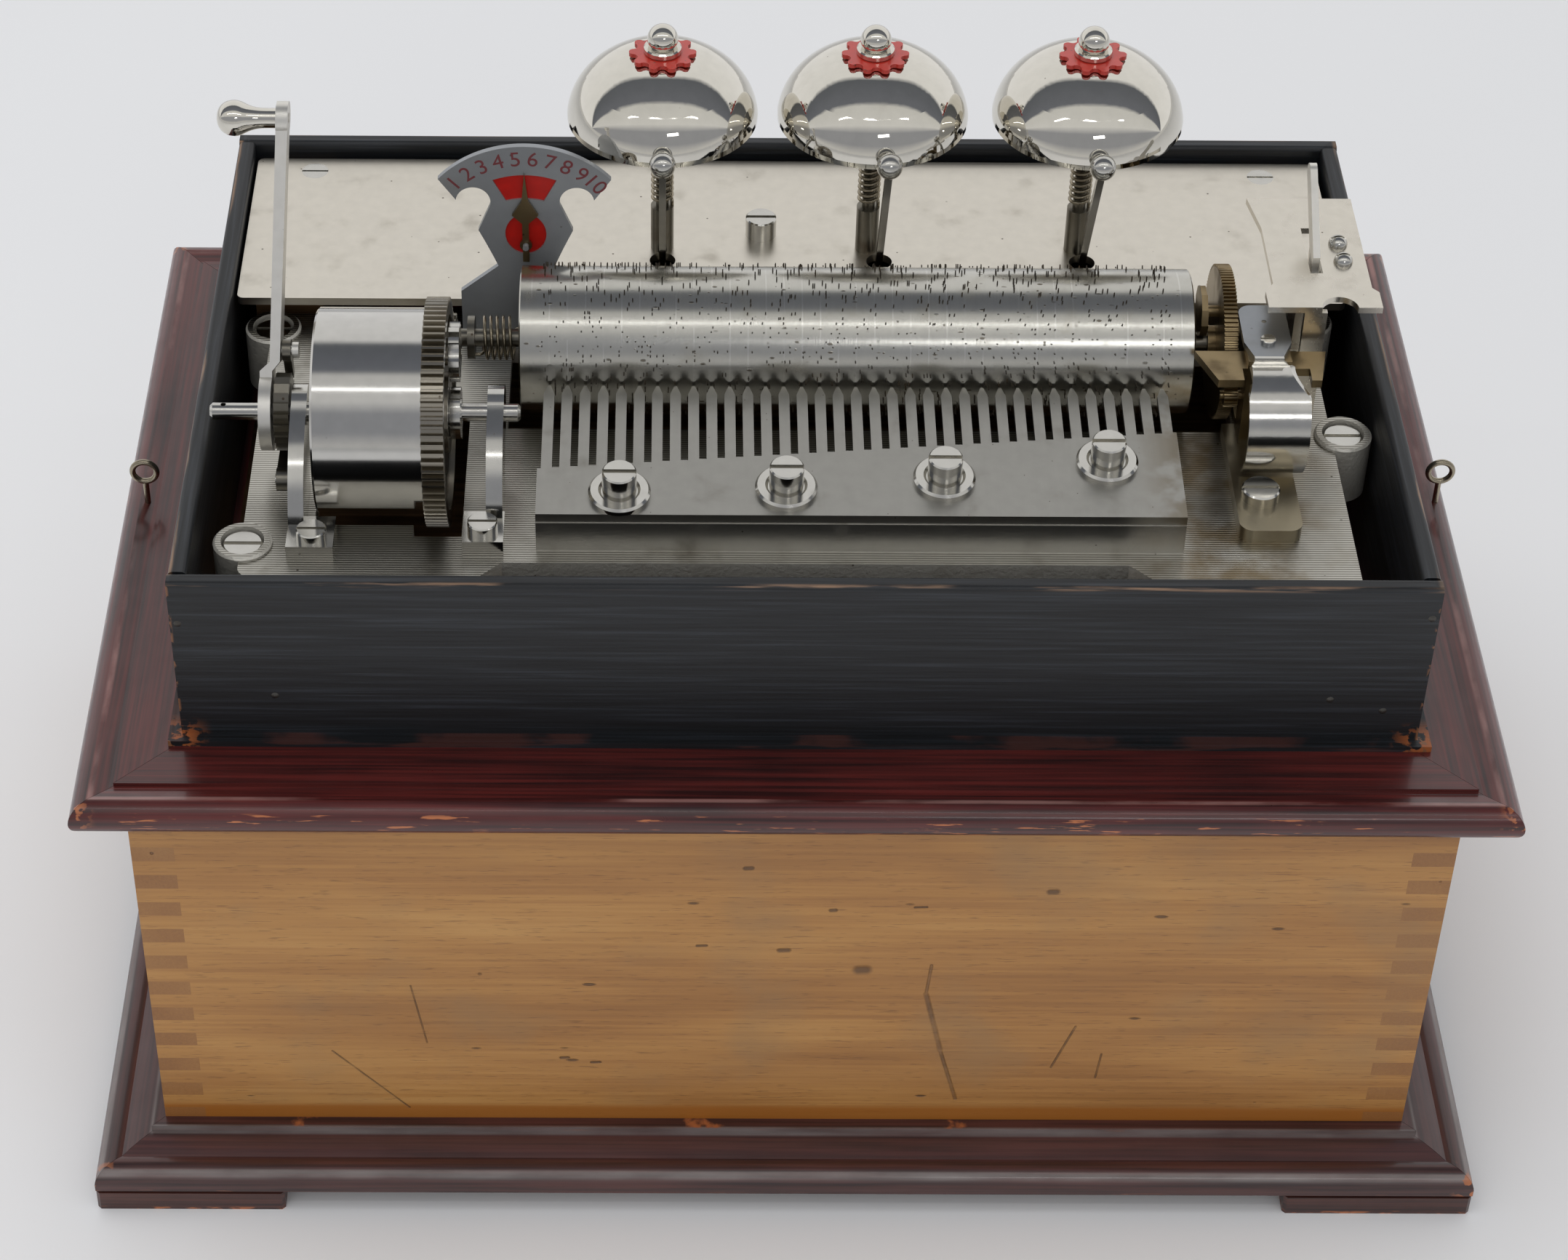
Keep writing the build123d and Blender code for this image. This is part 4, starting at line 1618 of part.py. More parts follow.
with BuildPart() as indicator_pointer:
    with BuildSketch(Plane.XZ.offset(-DIAL_Y + APART)):
        Polygon(
            (DIAL_X - POINTER_W / 2, POINTER_TAIL_Z),
            (DIAL_X + POINTER_W / 2, POINTER_TAIL_Z),
            (DIAL_X + POINTER_W / 2, POINTER_SPADE_Z[0]),
            (DIAL_X + POINTER_SPADE[0], POINTER_SPADE[1]),
            (DIAL_X + POINTER_W / 2, POINTER_SPADE_Z[1]),
            (DIAL_X, POINTER_TOP_Z),
            (DIAL_X - POINTER_W / 2, POINTER_SPADE_Z[1]),
            (DIAL_X - POINTER_SPADE[0], POINTER_SPADE[1]),
            (DIAL_X - POINTER_W / 2, POINTER_SPADE_Z[0]),
        )
        with Locations((DIAL_X, POINTER_PIVOT_Z)):
            Circle(2 * POINTER_STUD_R)
            Circle(POINTER_STUD_R + RUN, mode=Mode.SUBTRACT)
    extrude(amount=POINTER_T)
indicator_pointer.part.label = "indicator_pointer"
export_step(indicator_pointer.part, "parts/indicator_pointer.step")
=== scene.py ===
# %% [markdown]
# # A cylinder music box with three bells
# The lid is off, so the whole movement shows: the spring barrel on the left, the pinned
# cylinder, the steel comb, the little air brake on the right, and three nickel bells.
# The solids come from the CAD model and stay where they are. This file gives them light,
# a camera and a finish each, and adds the small things that are easier to make as meshes.

# %% Load the solids
import math
import random

import bpy
from mathutils import Matrix, Vector


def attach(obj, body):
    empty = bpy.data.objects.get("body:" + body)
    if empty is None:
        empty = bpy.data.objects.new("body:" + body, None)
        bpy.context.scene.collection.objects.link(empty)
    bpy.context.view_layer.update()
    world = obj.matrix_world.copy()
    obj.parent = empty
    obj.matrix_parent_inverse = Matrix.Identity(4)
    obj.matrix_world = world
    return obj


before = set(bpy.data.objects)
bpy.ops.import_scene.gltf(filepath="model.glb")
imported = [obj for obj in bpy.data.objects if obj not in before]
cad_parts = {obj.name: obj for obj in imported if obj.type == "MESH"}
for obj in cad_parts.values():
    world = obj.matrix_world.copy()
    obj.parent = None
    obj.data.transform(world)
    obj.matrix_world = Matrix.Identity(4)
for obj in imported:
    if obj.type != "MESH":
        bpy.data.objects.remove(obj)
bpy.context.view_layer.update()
MM = 0.001  # Blender works in metres, and the sizes below are in millimetres

# %% [markdown]
# ## The camera
# The photograph looks down at the box from the front at about 41 degrees with a long lens.
# A camera needs a place and three directions: what it looks at, its right and its up.
# They could come from a Track To constraint, but a matrix holds the slight roll as well.

# %% Camera
LOOK_DOWN = math.radians(41.09)
LOOK_RIGHT = math.radians(0.487)
ROLL = math.radians(0.601)
CAMERA_PLACE = Vector((-27.36, -657.96, 659.78)) * MM

ahead = Vector(
    (
        math.sin(LOOK_RIGHT) * math.cos(LOOK_DOWN),
        math.cos(LOOK_RIGHT) * math.cos(LOOK_DOWN),
        -math.sin(LOOK_DOWN),
    )
)
level_right = ahead.cross(Vector((0, 0, 1))).normalized()
level_up = level_right.cross(ahead)
right = math.cos(ROLL) * level_right + math.sin(ROLL) * level_up
up = math.cos(ROLL) * level_up - math.sin(ROLL) * level_right

lens = bpy.data.cameras.new("studio_camera")
lens.sensor_width = 36.0
lens.lens = 82.72
lens.shift_x = 0.0576
lens.shift_y = -0.0026
lens.clip_start = 0.05
camera = bpy.data.objects.new("studio_camera", lens)
camera.matrix_world = Matrix.Translation(CAMERA_PLACE) @ Matrix((right, up, -ahead)).transposed().to_4x4()
bpy.context.scene.collection.objects.link(camera)
bpy.context.scene.camera = camera
print("camera stands", round(CAMERA_PLACE.length, 3), "m from the middle of the table")

# %% [markdown]
# ## A helper for finishes
# Every finish here is a Principled shader with a few patterns in front of it. Linking
# nodes one by one is long to read, so a small class keeps the tree and offers the patterns
# by what they look like on the real thing: noise of a given size, spots, bands, scratches.
# All sizes are in millimetres on the object, so grain keeps its true scale on every piece.


# %% The finish helper
def tint(red, green, blue):
    """A colour as seen on a screen, 0 to 255, turned into the linear values that shaders use."""
    channels = []
    for value in (red, green, blue):
        part = value / 255
        channels.append(part / 12.92 if part <= 0.04045 else ((part + 0.055) / 1.055) ** 2.4)
    return (*channels, 1.0)


class Finish:
    """One node material, with patterns named by what they look like."""

    def __init__(self, name, metal=0.0, rough=0.5, coat=0.0, coat_rough=0.1):
        self.material = bpy.data.materials.new(name)
        self.material.use_nodes = True
        self.tree = self.material.node_tree
        self.shader = self.tree.nodes["Principled BSDF"]
        self.shader.inputs["Metallic"].default_value = metal
        self.shader.inputs["Roughness"].default_value = rough
        self.shader.inputs["Coat Weight"].default_value = coat
        self.shader.inputs["Coat Roughness"].default_value = coat_rough
        coordinates = self.node("TexCoord")
        self.place = coordinates.outputs["Object"]
        self.facing = coordinates.outputs["Normal"]
        parts = self.node("SeparateXYZ", self.place)
        self.x, self.y, self.z = (self.times(socket, 1 / MM) for socket in parts.outputs)
        self.last_relief = None

    def node(self, kind, *values, **settings):
        made = self.tree.nodes.new("ShaderNode" + kind)
        for key, value in settings.items():
            setattr(made, key, value)
        for socket, value in zip(made.inputs, values):
            self.plug(socket, value)
        return made

    def plug(self, socket, value):
        if isinstance(value, bpy.types.NodeSocket):
            self.tree.links.new(value, socket)
        elif value is not None:
            socket.default_value = value

    def math(self, operation, *values):
        return self.node("Math", *values, operation=operation).outputs[0]

    def times(self, first, second):
        return self.math("MULTIPLY", first, second)

    def plus(self, first, second):
        return self.math("ADD", first, second)

    def minus(self, first, second):
        return self.math("SUBTRACT", first, second)

    def most(self, first, second):
        return self.math("MAXIMUM", first, second)

    def least(self, first, second):
        return self.math("MINIMUM", first, second)

    def stretched(self, size, shift=0.0):
        scaled = self.node("VectorMath", self.place, [1 / (MM * s) for s in size], operation="MULTIPLY")
        return self.node("VectorMath", scaled.outputs[0], (shift, shift, shift), operation="ADD").outputs[0]

    def noise(self, size, detail=3.0, shift=0.0, warp=0.0):
        """Cloudy noise whose blobs have the given size along X, Y and Z."""
        made = self.node("TexNoise", self.stretched(size, shift))
        made.inputs["Scale"].default_value = 1.0
        made.inputs["Detail"].default_value = detail
        made.inputs["Distortion"].default_value = warp
        return made.outputs["Fac"]

    def band(self, value, low, high):
        """0 at low, 1 at high, smooth between them. It falls where high is below low."""
        made = self.node("MapRange", value, low, high, interpolation_type="SMOOTHSTEP")
        return made.outputs["Result"]

    def between(self, value, low, high, soft):
        rise = self.band(value, low - soft, low + soft)
        fall = self.band(value, high + soft, high - soft)
        return self.times(rise, fall)

    def spots(self, size, radius, share, shift=0.0):
        """Scattered round marks: one cell per size, of which a share holds a mark."""
        made = self.node("TexVoronoi", self.stretched(size, shift))
        made.inputs["Scale"].default_value = 1.0
        chance = self.node("SeparateColor", made.outputs["Color"]).outputs[0]
        chosen = self.band(chance, share, share - 0.05)
        return self.times(chosen, self.band(made.outputs["Distance"], radius, radius * 0.5))

    def mix(self, mask, under, over):
        made = self.node("Mix", data_type="RGBA")
        self.plug(made.inputs[0], mask)
        self.plug(made.inputs[6], under)
        self.plug(made.inputs[7], over)
        return made.outputs[2]

    def shades(self, value, *stops):
        """A colour ramp from pairs of place and colour."""
        made = self.node("ValToRGB", value)
        ramp = made.color_ramp
        while len(ramp.elements) < len(stops):
            ramp.elements.new(1.0)
        for element, (place, colour) in zip(ramp.elements, stops):
            element.position = place
            element.color = colour
        return made.outputs["Color"]

    def relief(self, height, deep, strength=1.0):
        """A bump of the given depth in millimetres, on top of any earlier one."""
        made = self.node("Bump")
        made.inputs["Strength"].default_value = strength
        made.inputs["Distance"].default_value = deep * MM
        self.plug(made.inputs["Height"], height)
        if self.last_relief is not None:
            self.plug(made.inputs["Normal"], self.last_relief)
        self.last_relief = made.outputs["Normal"]
        self.plug(self.shader.inputs["Normal"], self.last_relief)

    def colour(self, value):
        self.plug(self.shader.inputs["Base Color"], value)

    def roughness(self, value, low, high):
        """Roughness that follows a pattern from low to high."""
        made = self.node("MapRange", value, 0.0, 1.0, low, high)
        self.plug(self.shader.inputs["Roughness"], made.outputs["Result"])


print("middle grey is", round(tint(128, 128, 128)[0], 3), "of white")


def dress(finish, *names):
    """Puts a finish on CAD nodes, whose meshes stay as they are."""
    for name in names:
        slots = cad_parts[name].material_slots
        for slot in slots:
            slot.material = finish.material
    print(finish.material.name, "on", len(names), "nodes")


# %% [markdown]
# ## The studio
# The photograph has a white table under soft light. A large pale plane is the table, one
# big lamp above and one in front give soft shadows, and a long thin lamp draws the bright
# line along the polished barrel and cylinder. The two big lamps are hidden from polish,
# because a mirror would show their hard outline.

# %% Table and lamps
TABLE_HALF = 4.0
TABLE_CORNERS = ((-1, -1), (1, -1), (1, 1), (-1, 1))
table_mesh = bpy.data.meshes.new("table")
table_mesh.from_pydata(
    [(x * TABLE_HALF, y * TABLE_HALF, 0.0) for x, y in TABLE_CORNERS],
    [],
    [(0, 1, 2, 3)],
)
table = bpy.data.objects.new("table", table_mesh)
bpy.context.scene.collection.objects.link(table)
paper = Finish("white_paper", rough=0.6)
paper.shader.inputs["Specular IOR Level"].default_value = 0.2
paper.colour(paper.mix(paper.noise((400, 400, 400)), tint(231, 232, 235), tint(236, 237, 239)))
paper.relief(paper.noise((1.5, 1.5, 1.5)), 0.02, 0.3)
table_mesh.materials.append(paper.material)


def soft_lamp(name, place, target, wide, tall, power, mirrored=True):
    """A rectangular lamp that shines towards a target. One that isn't mirrored shows in no polish."""
    light = bpy.data.lights.new(name, "AREA")
    light.shape = "RECTANGLE"
    light.size = wide
    light.size_y = tall
    light.energy = power
    lamp = bpy.data.objects.new(name, light)
    way = Vector(target) - Vector(place)
    lamp.matrix_world = Matrix.Translation(Vector(place)) @ way.to_track_quat("-Z", "Y").to_matrix().to_4x4()
    lamp.visible_glossy = mirrored
    bpy.context.scene.collection.objects.link(lamp)
    print(name, power, "W")


MOVEMENT = (0.0, 0.0, 0.17)
soft_lamp("ceiling_box", (-0.25, 0.2, 1.45), MOVEMENT, 1.3, 0.9, 6.5, mirrored=False)
soft_lamp("long_strip", (0.0, -0.76, 1.54), MOVEMENT, 2.4, 0.04, 1.5)
soft_lamp("front_box", (0.35, -1.5, 1.15), MOVEMENT, 0.4, 0.14, 1.0)
soft_lamp("window", (-0.3, -1.4, 0.7), (0.0, 0.0, 0.08), 1.6, 0.8, 2.2, mirrored=False)

# %% [markdown]
# ## The room
# The sky is plain for wood, and for polished metal it has the greys of a room, because a
# mirror can only look like what it reflects. A picture of a room could do that. Here the
# angle from the front, over the top, to the back picks a grey from a ramp instead.

# %% Room light
world = bpy.data.worlds.new("studio_room")
bpy.context.scene.world = world
world.use_nodes = True
room = world.node_tree
room.nodes.clear()


def room_node(kind, **settings):
    made = room.nodes.new("ShaderNode" + kind)
    for key, value in settings.items():
        setattr(made, key, value)
    return made


direction = room_node("SeparateXYZ")
room.links.new(room_node("TexCoord").outputs["Generated"], direction.inputs[0])
towards_front = room_node("Math", operation="MULTIPLY")
room.links.new(direction.outputs["Y"], towards_front.inputs[0])
towards_front.inputs[1].default_value = -1.0
height_angle = room_node("Math", operation="ARCTAN2")
room.links.new(direction.outputs["Z"], height_angle.inputs[0])
room.links.new(towards_front.outputs[0], height_angle.inputs[1])
half_turn = room_node("Math", operation="DIVIDE")
room.links.new(height_angle.outputs[0], half_turn.inputs[0])
half_turn.inputs[1].default_value = math.pi
greys = room_node("ValToRGB")
room.links.new(half_turn.outputs[0], greys.inputs[0])
ROOM_GREYS = (
    (0.00, (0.60, 0.60, 0.60)),
    (0.08, (0.34, 0.35, 0.38)),
    (0.20, (0.34, 0.35, 0.38)),
    (0.27, (0.74, 0.74, 0.74)),
    (0.43, (0.68, 0.68, 0.67)),
    (0.46, (0.17, 0.18, 0.21)),
    (0.645, (0.13, 0.14, 0.16)),
    (0.68, (0.86, 0.86, 0.86)),
    (1.00, (0.92, 0.92, 0.93)),
)
while len(greys.color_ramp.elements) < len(ROOM_GREYS):
    greys.color_ramp.elements.new(1.0)
for element, (place, shade) in zip(greys.color_ramp.elements, ROOM_GREYS):
    element.position = place
    element.color = (*shade, 1.0)

PLAIN_LIGHT = 0.77
PALE_WALL = tint(236, 236, 240)
reflected = room_node("Background")
room.links.new(greys.outputs["Color"], reflected.inputs["Color"])
on_wood = room_node("Background")
on_wood.inputs["Strength"].default_value = PLAIN_LIGHT
seen = room_node("Background")
seen.inputs["Color"].default_value = PALE_WALL
rays = room_node("LightPath")
mirror_rays = room_node("Math", operation="MAXIMUM")
room.links.new(rays.outputs["Is Glossy Ray"], mirror_rays.inputs[0])
room.links.new(rays.outputs["Is Transmission Ray"], mirror_rays.inputs[1])
in_metal = room_node("MixShader")
room.links.new(mirror_rays.outputs[0], in_metal.inputs[0])
room.links.new(on_wood.outputs[0], in_metal.inputs[1])
room.links.new(reflected.outputs[0], in_metal.inputs[2])
behind = room_node("MixShader")
room.links.new(rays.outputs["Is Camera Ray"], behind.inputs[0])
room.links.new(in_metal.outputs[0], behind.inputs[1])
room.links.new(seen.outputs[0], behind.inputs[2])
room.links.new(behind.outputs[0], room_node("OutputWorld").inputs[0])

bpy.context.scene.view_settings.view_transform = "Standard"
print("greys in the room:", len(ROOM_GREYS))

# %% [markdown]
# ## The golden boards of the case
# The case is a pale wood that wax and age have turned golden. It could be one brown noise,
# but real boards have long fine streaks, broad clouds of colour, short dark pores, and
# knocks from a hundred years of use. Each is one pattern here, laid over the one before.
# The ends of the finger joints show end grain, which drinks more stain and is darker.


# %% Wood for the case
def plank_sizes(along, long, across):
    """The size of a streak that runs along X or along Y."""
    return (long, across, across) if along == "x" else (across, long, across)


FRONT_SCRATCHES = (
    ((32.0, 67.3), (31.2, 58.0), 0.5),
    ((31.2, 58.0), (35.4, 39.0), 0.8),
    ((35.4, 39.0), (39.8, 22.3), 0.6),
    ((66.1, 47.3), (61.4, 33.3), 0.35),
    ((72.8, 38.0), (72.0, 29.9), 0.3),
    ((-86.0, 60.0), (-83.0, 41.0), 0.25),
    ((-105.0, 38.0), (-88.0, 18.5), 0.3),
)
KNOCKS = (
    (-1.5, 72.0, 1.9, 0.9),
    (-51.4, 35.9, 1.6, 0.6),
    (-20.0, 73.4, 2.0, 0.5),
    (9.2, 84.9, 1.0, 0.7),
    (28.7, 86.0, 2.6, 0.4),
    (57.8, 91.0, 1.4, 1.1),
    (-9.9, 98.0, 1.4, 0.8),
    (-44.2, 34.4, 1.9, 0.5),
    (16.4, 65.7, 1.7, 1.9),
)
FRONT_FACE_Y = (-94.6, -94.9)  # just behind the face of the front board, and on it
WAXED_FOOT_Z = (20.5, 18.4)
# where the painted shade under the flange starts and where it is darkest
PAINTED_SHADE_HEAD_Z = (104.0, 117.0)


def segment_mask(finish, start, end, wide):
    """A soft line on the front face between two points given by their X and Z."""
    run = (end[0] - start[0], end[1] - start[1])
    square = run[0] ** 2 + run[1] ** 2
    from_x = finish.minus(finish.x, start[0])
    from_z = finish.minus(finish.z, start[1])
    along_x = finish.times(from_x, run[0] / square)
    along_z = finish.times(from_z, run[1] / square)
    share = finish.least(finish.most(finish.plus(along_x, along_z), 0.0), 1.0)
    off_x = finish.minus(from_x, finish.times(share, run[0]))
    off_z = finish.minus(from_z, finish.times(share, run[1]))
    square_away = finish.plus(finish.times(off_x, off_x), finish.times(off_z, off_z))
    return finish.band(finish.math("SQRT", square_away), wide, wide * 0.2)


def case_wood(name, along, marks=False):
    wood = Finish(name, rough=0.42, coat=0.25, coat_rough=0.28)
    streaks = wood.noise(plank_sizes(along, 46, 0.9), detail=6.0, warp=0.2)
    clouds = wood.noise(plank_sizes(along, 120, 22), detail=2.0, warp=0.6)
    tone = wood.plus(wood.times(streaks, 0.4), wood.times(clouds, 0.6))
    colour = wood.shades(
        tone,
        (0.32, tint(144, 97, 47)),
        (0.45, tint(162, 113, 58)),
        (0.56, tint(175, 126, 67)),
        (0.70, tint(187, 140, 80)),
    )
    pores = wood.band(wood.noise(plank_sizes(along, 5.0, 0.35), detail=2.0, shift=3.0), 0.60, 0.72)
    colour = wood.mix(wood.times(pores, 0.45), colour, tint(98, 62, 32))
    dull = wood.band(wood.noise((34, 34, 34), detail=4.0, shift=9.0), 0.5, 0.72)
    colour = wood.mix(wood.times(dull, 0.4), colour, tint(140, 112, 78))
    foot = wood.band(wood.z, *WAXED_FOOT_Z)
    colour = wood.mix(wood.times(foot, 0.85), colour, tint(150, 88, 18))
    # painted shade under the flange: the boards darken towards the top, in streaks along the grain
    shade_streaks = wood.band(wood.noise(plank_sizes(along, 26, 1.2), detail=4.0, shift=5.0), 0.5, 0.62)
    painted_head_shade = wood.times(wood.band(wood.z, *PAINTED_SHADE_HEAD_Z), shade_streaks)
    colour = wood.mix(wood.times(painted_head_shade, 0.6), colour, tint(104, 70, 40))
    pits = wood.spots((15, 15, 15), 0.055, 0.4, shift=2.0)
    flecks = wood.spots(plank_sizes(along, 26, 7.5), 0.07, 0.35, shift=7.0)
    harm = wood.most(pits, flecks)
    if marks:
        front = wood.band(wood.y, *FRONT_FACE_Y)
        wobble = wood.times(wood.noise((3, 3, 3), detail=4.0), 1.3)
        for start, end, wide in FRONT_SCRATCHES:
            line = wood.times(segment_mask(wood, start, end, wide), wobble)
            harm = wood.most(harm, wood.times(line, front))
        for x, z, wide, tall in KNOCKS:
            knock = segment_mask(wood, (x - wide / 2, z), (x + wide / 2, z + 0.1), tall)
            harm = wood.most(harm, wood.times(knock, front))
    colour = wood.mix(wood.times(harm, 0.75), colour, tint(74, 52, 38))
    grain_axis = 0 if along == "x" else 1
    ends = wood.math("ABSOLUTE", wood.node("SeparateXYZ", wood.facing).outputs[grain_axis])
    end_grain = wood.band(ends, 0.6, 0.8)
    fibres = wood.mix(wood.noise((0.5, 0.5, 0.5), shift=4.0), tint(118, 76, 40), tint(150, 104, 60))
    colour = wood.mix(wood.times(end_grain, 0.62), colour, fibres)
    wood.colour(colour)
    wood.roughness(wood.most(streaks, harm), 0.34, 0.62)
    wood.relief(streaks, 0.05, 0.35)
    wood.relief(wood.minus(1.0, harm), 0.5, 0.9)
    return wood


dress(case_wood("golden_front", "x", marks=True), "front_board")
dress(case_wood("golden_back", "x"), "back_board")
dress(case_wood("golden_ends", "y"), "end_boards")

# %% [markdown]
# ## Red-brown mouldings
# The mouldings are stained like mahogany and polished, so they need a clear coat over a
# dark colour. The stain is rubbed through to orange wood along the sharp edges and at the
# corners. Height and distance from the case say where those edges are, and noise breaks
# the line up, because nobody wears a moulding evenly.


# %% Stained wood
def rim_distance(finish, middle_x, half_x, middle_y, half_y):
    """How far outside a rectangle a point lies, and which side of the frame it is on."""
    side = finish.minus(finish.math("ABSOLUTE", finish.minus(finish.x, middle_x)), half_x)
    front = finish.minus(finish.math("ABSOLUTE", finish.minus(finish.y, middle_y)), half_y)
    on_side = finish.band(finish.minus(side, front), -0.1, 0.1)
    return finish.most(side, front), finish.least(side, front), on_side


CASE_HALF = (145.5, 95.0)
BARE_ORANGE = tint(176, 104, 60)


def stained(name, dark, light, coat, rough=0.3):
    """Dark stained wood whose grain turns the corner with each mitred piece."""
    wood = Finish(name, rough=rough, coat=coat, coat_rough=0.13)
    outside, corner, on_side = rim_distance(wood, 0.0, CASE_HALF[0], 0.0, CASE_HALF[1])
    along_x = wood.noise((46, 0.9, 0.9), detail=5.0)
    along_y = wood.noise((0.9, 46, 0.9), detail=5.0)
    grain = wood.node("Mix", on_side, data_type="FLOAT")
    wood.plug(grain.inputs[2], along_x)
    wood.plug(grain.inputs[3], along_y)
    streaks = grain.outputs[0]
    clouds = wood.noise((40, 40, 40), shift=6.0)
    tone = wood.plus(wood.times(streaks, 0.7), wood.times(clouds, 0.3))
    colour = wood.shades(tone, (0.36, dark), (0.62, light))
    wood.relief(streaks, 0.04, 0.3)
    wood.roughness(wood.noise((5, 5, 5), detail=4.0, shift=1.0), rough - 0.1, rough + 0.16)
    return wood, colour, outside, corner


def rub(wood, colour, where, worn, low=0.52, high=0.6, size=(6, 6, 1.2)):
    """Breaks an edge mask up with noise and lays bare wood on it."""
    broken = wood.band(wood.noise(size, detail=5.0, shift=8.0), low, high)
    return wood.mix(wood.times(where, broken), colour, worn)


# %% Flange
FLANGE_EDGE = (9.6, 10.8)  # how far outside the case, as the next two
FLANGE_CORNER = (4.0, 10.3)
FLANGE_STEP = (5.4, 6.6)
FLANGE_STEP_Z = (122.8, 123.6)
FLANGE_UNDER_Z = (117.6, 116.9)

flange, colour, outside, corner = stained("red_flange", tint(40, 13, 13), tint(88, 30, 27), coat=0.45)
outer_edge = flange.between(outside, *FLANGE_EDGE, 0.3)
colour = rub(flange, colour, outer_edge, BARE_ORANGE, 0.62, 0.68, (9, 9, 0.7))
corner_wear = flange.band(corner, *FLANGE_CORNER)
colour = rub(flange, colour, corner_wear, BARE_ORANGE, 0.56, 0.6, (3, 3, 2))
dusty = flange.between(outside, *FLANGE_STEP, 0.35)
dusty = flange.times(flange.times(dusty, flange.band(flange.z, *FLANGE_STEP_Z)), 0.55)
colour = rub(flange, colour, dusty, tint(168, 126, 120), 0.44, 0.66, (30, 30, 2))
underside = flange.times(flange.band(flange.z, *FLANGE_UNDER_Z), 0.6)
colour = rub(flange, colour, underside, tint(150, 112, 96), 0.46, 0.66, (22, 22, 2))
flange.colour(colour)
dress(flange, "flange_mouldings")

# %% Plinth and feet
PLINTH_LEDGES = ((2.6, 3.6), (13.4, 14.8))
PLINTH_HOLLOW = (3.6, 10.5)
PLINTH_CORNER = (9.0, 15.4)
PLINTH_TOP = (3.2, 2.6)
PLINTH_TOP_Z = (13.6, 14.4)
PLINTH_LOW_Z = (5.0, 6.6)

plinth, colour, outside, corner = stained(
    "brown_plinth", tint(40, 21, 21), tint(80, 44, 41), coat=0.45, rough=0.38
)
# dust on the ledges, and the same noise paints a sheen into the cove
dust_and_sheen = plinth.noise((18, 18, 3), detail=5.0, shift=3.0)
for low, high in PLINTH_LEDGES:
    ledge = plinth.between(outside, low, high, 0.4)
    colour = plinth.mix(plinth.times(ledge, plinth.times(dust_and_sheen, 0.8)), colour, tint(150, 144, 142))
# dust and painted sheen: the cove is painted paler in patches, as if its polish caught the light
cove_sheen = plinth.between(outside, *PLINTH_HOLLOW, 1.2)
colour = plinth.mix(plinth.times(cove_sheen, plinth.times(dust_and_sheen, 0.35)), colour, tint(96, 66, 68))
lower_edge = plinth.between(plinth.z, *PLINTH_LOW_Z, 0.4)
colour = rub(plinth, colour, lower_edge, BARE_ORANGE, 0.61, 0.68, (12, 12, 0.8))
colour = rub(plinth, colour, plinth.band(corner, *PLINTH_CORNER), BARE_ORANGE, 0.56, 0.6, (3, 3, 2))
top_edge = plinth.times(plinth.band(outside, *PLINTH_TOP), plinth.band(plinth.z, *PLINTH_TOP_Z))
colour = rub(plinth, colour, top_edge, tint(168, 98, 56), 0.63, 0.68, (14, 14, 1.2))
plinth.colour(colour)
dress(plinth, "plinth_mouldings")

feet, colour, _, _ = stained("brown_feet", tint(42, 22, 20), tint(84, 46, 38), coat=0.3, rough=0.45)
colour = rub(feet, colour, feet.band(feet.z, 1.2, 0.2), BARE_ORANGE, 0.5, 0.6, (5, 5, 1))
feet.colour(colour)
dress(feet, "feet")

# %% [markdown]
# ## The black tray
# The tray that holds the movement is stained black, thinly enough for the grain to show as
# grey streaks. Its rim is rubbed along the top and its lower corners are chipped. It could
# share the function of the mouldings, but its grain is stronger and it has hardly any coat.

# %% Black tray
TRAY_MIDDLE = (1.0, 3.5)
TRAY_HALF = (134.6, 85.5)
TRAY_RIM_Z = (167.3, 168.1)
TRAY_CHIPS_Z = (131.0, 125.5)
TRAY_FOOT_Z = (126.3, 126.0)


def black_wood(name):
    wood = Finish(name, rough=0.5, coat=0.12, coat_rough=0.3)
    outside, corner, on_side = rim_distance(
        wood, TRAY_MIDDLE[0], TRAY_HALF[0], TRAY_MIDDLE[1], TRAY_HALF[1]
    )
    grain = wood.node("Mix", on_side, data_type="FLOAT")
    wood.plug(grain.inputs[2], wood.noise((38, 0.8, 0.8), detail=6.0, warp=0.3))
    wood.plug(grain.inputs[3], wood.noise((0.8, 38, 0.8), detail=6.0, warp=0.3))
    streaks = grain.outputs[0]
    colour = wood.shades(
        streaks,
        (0.36, tint(9, 10, 13)),
        (0.55, tint(20, 23, 27)),
        (0.72, tint(38, 42, 48)),
    )
    near_face = wood.band(wood.math("ABSOLUTE", outside), 1.3, 0.5)
    rim = wood.times(wood.band(wood.z, *TRAY_RIM_Z), near_face)
    colour = rub(wood, colour, rim, tint(132, 104, 82), 0.5, 0.68, (24, 24, 0.8))
    chips = wood.times(wood.band(corner, -7.0, -0.5), wood.band(wood.z, *TRAY_CHIPS_Z))
    colour = rub(wood, colour, chips, tint(150, 84, 44), 0.5, 0.55, (4, 4, 3))
    open_joint = wood.band(wood.noise((2, 2, 4), shift=2.0), 0.55, 0.6)
    joint = wood.times(wood.band(corner, -0.7, -0.1), open_joint)
    colour = wood.mix(joint, colour, tint(122, 82, 56))
    rubbed = wood.band(wood.noise((26, 26, 2), detail=4.0), 0.5, 0.6)
    step = wood.times(wood.band(wood.z, *TRAY_FOOT_Z), rubbed)
    colour = wood.mix(wood.times(step, 0.35), colour, tint(96, 50, 40))
    wood.colour(colour)
    wood.roughness(streaks, 0.62, 0.4)
    wood.relief(streaks, 0.12, 0.5)
    return wood


dress(black_wood("black_tray"), "tray_boards", "tray_step")

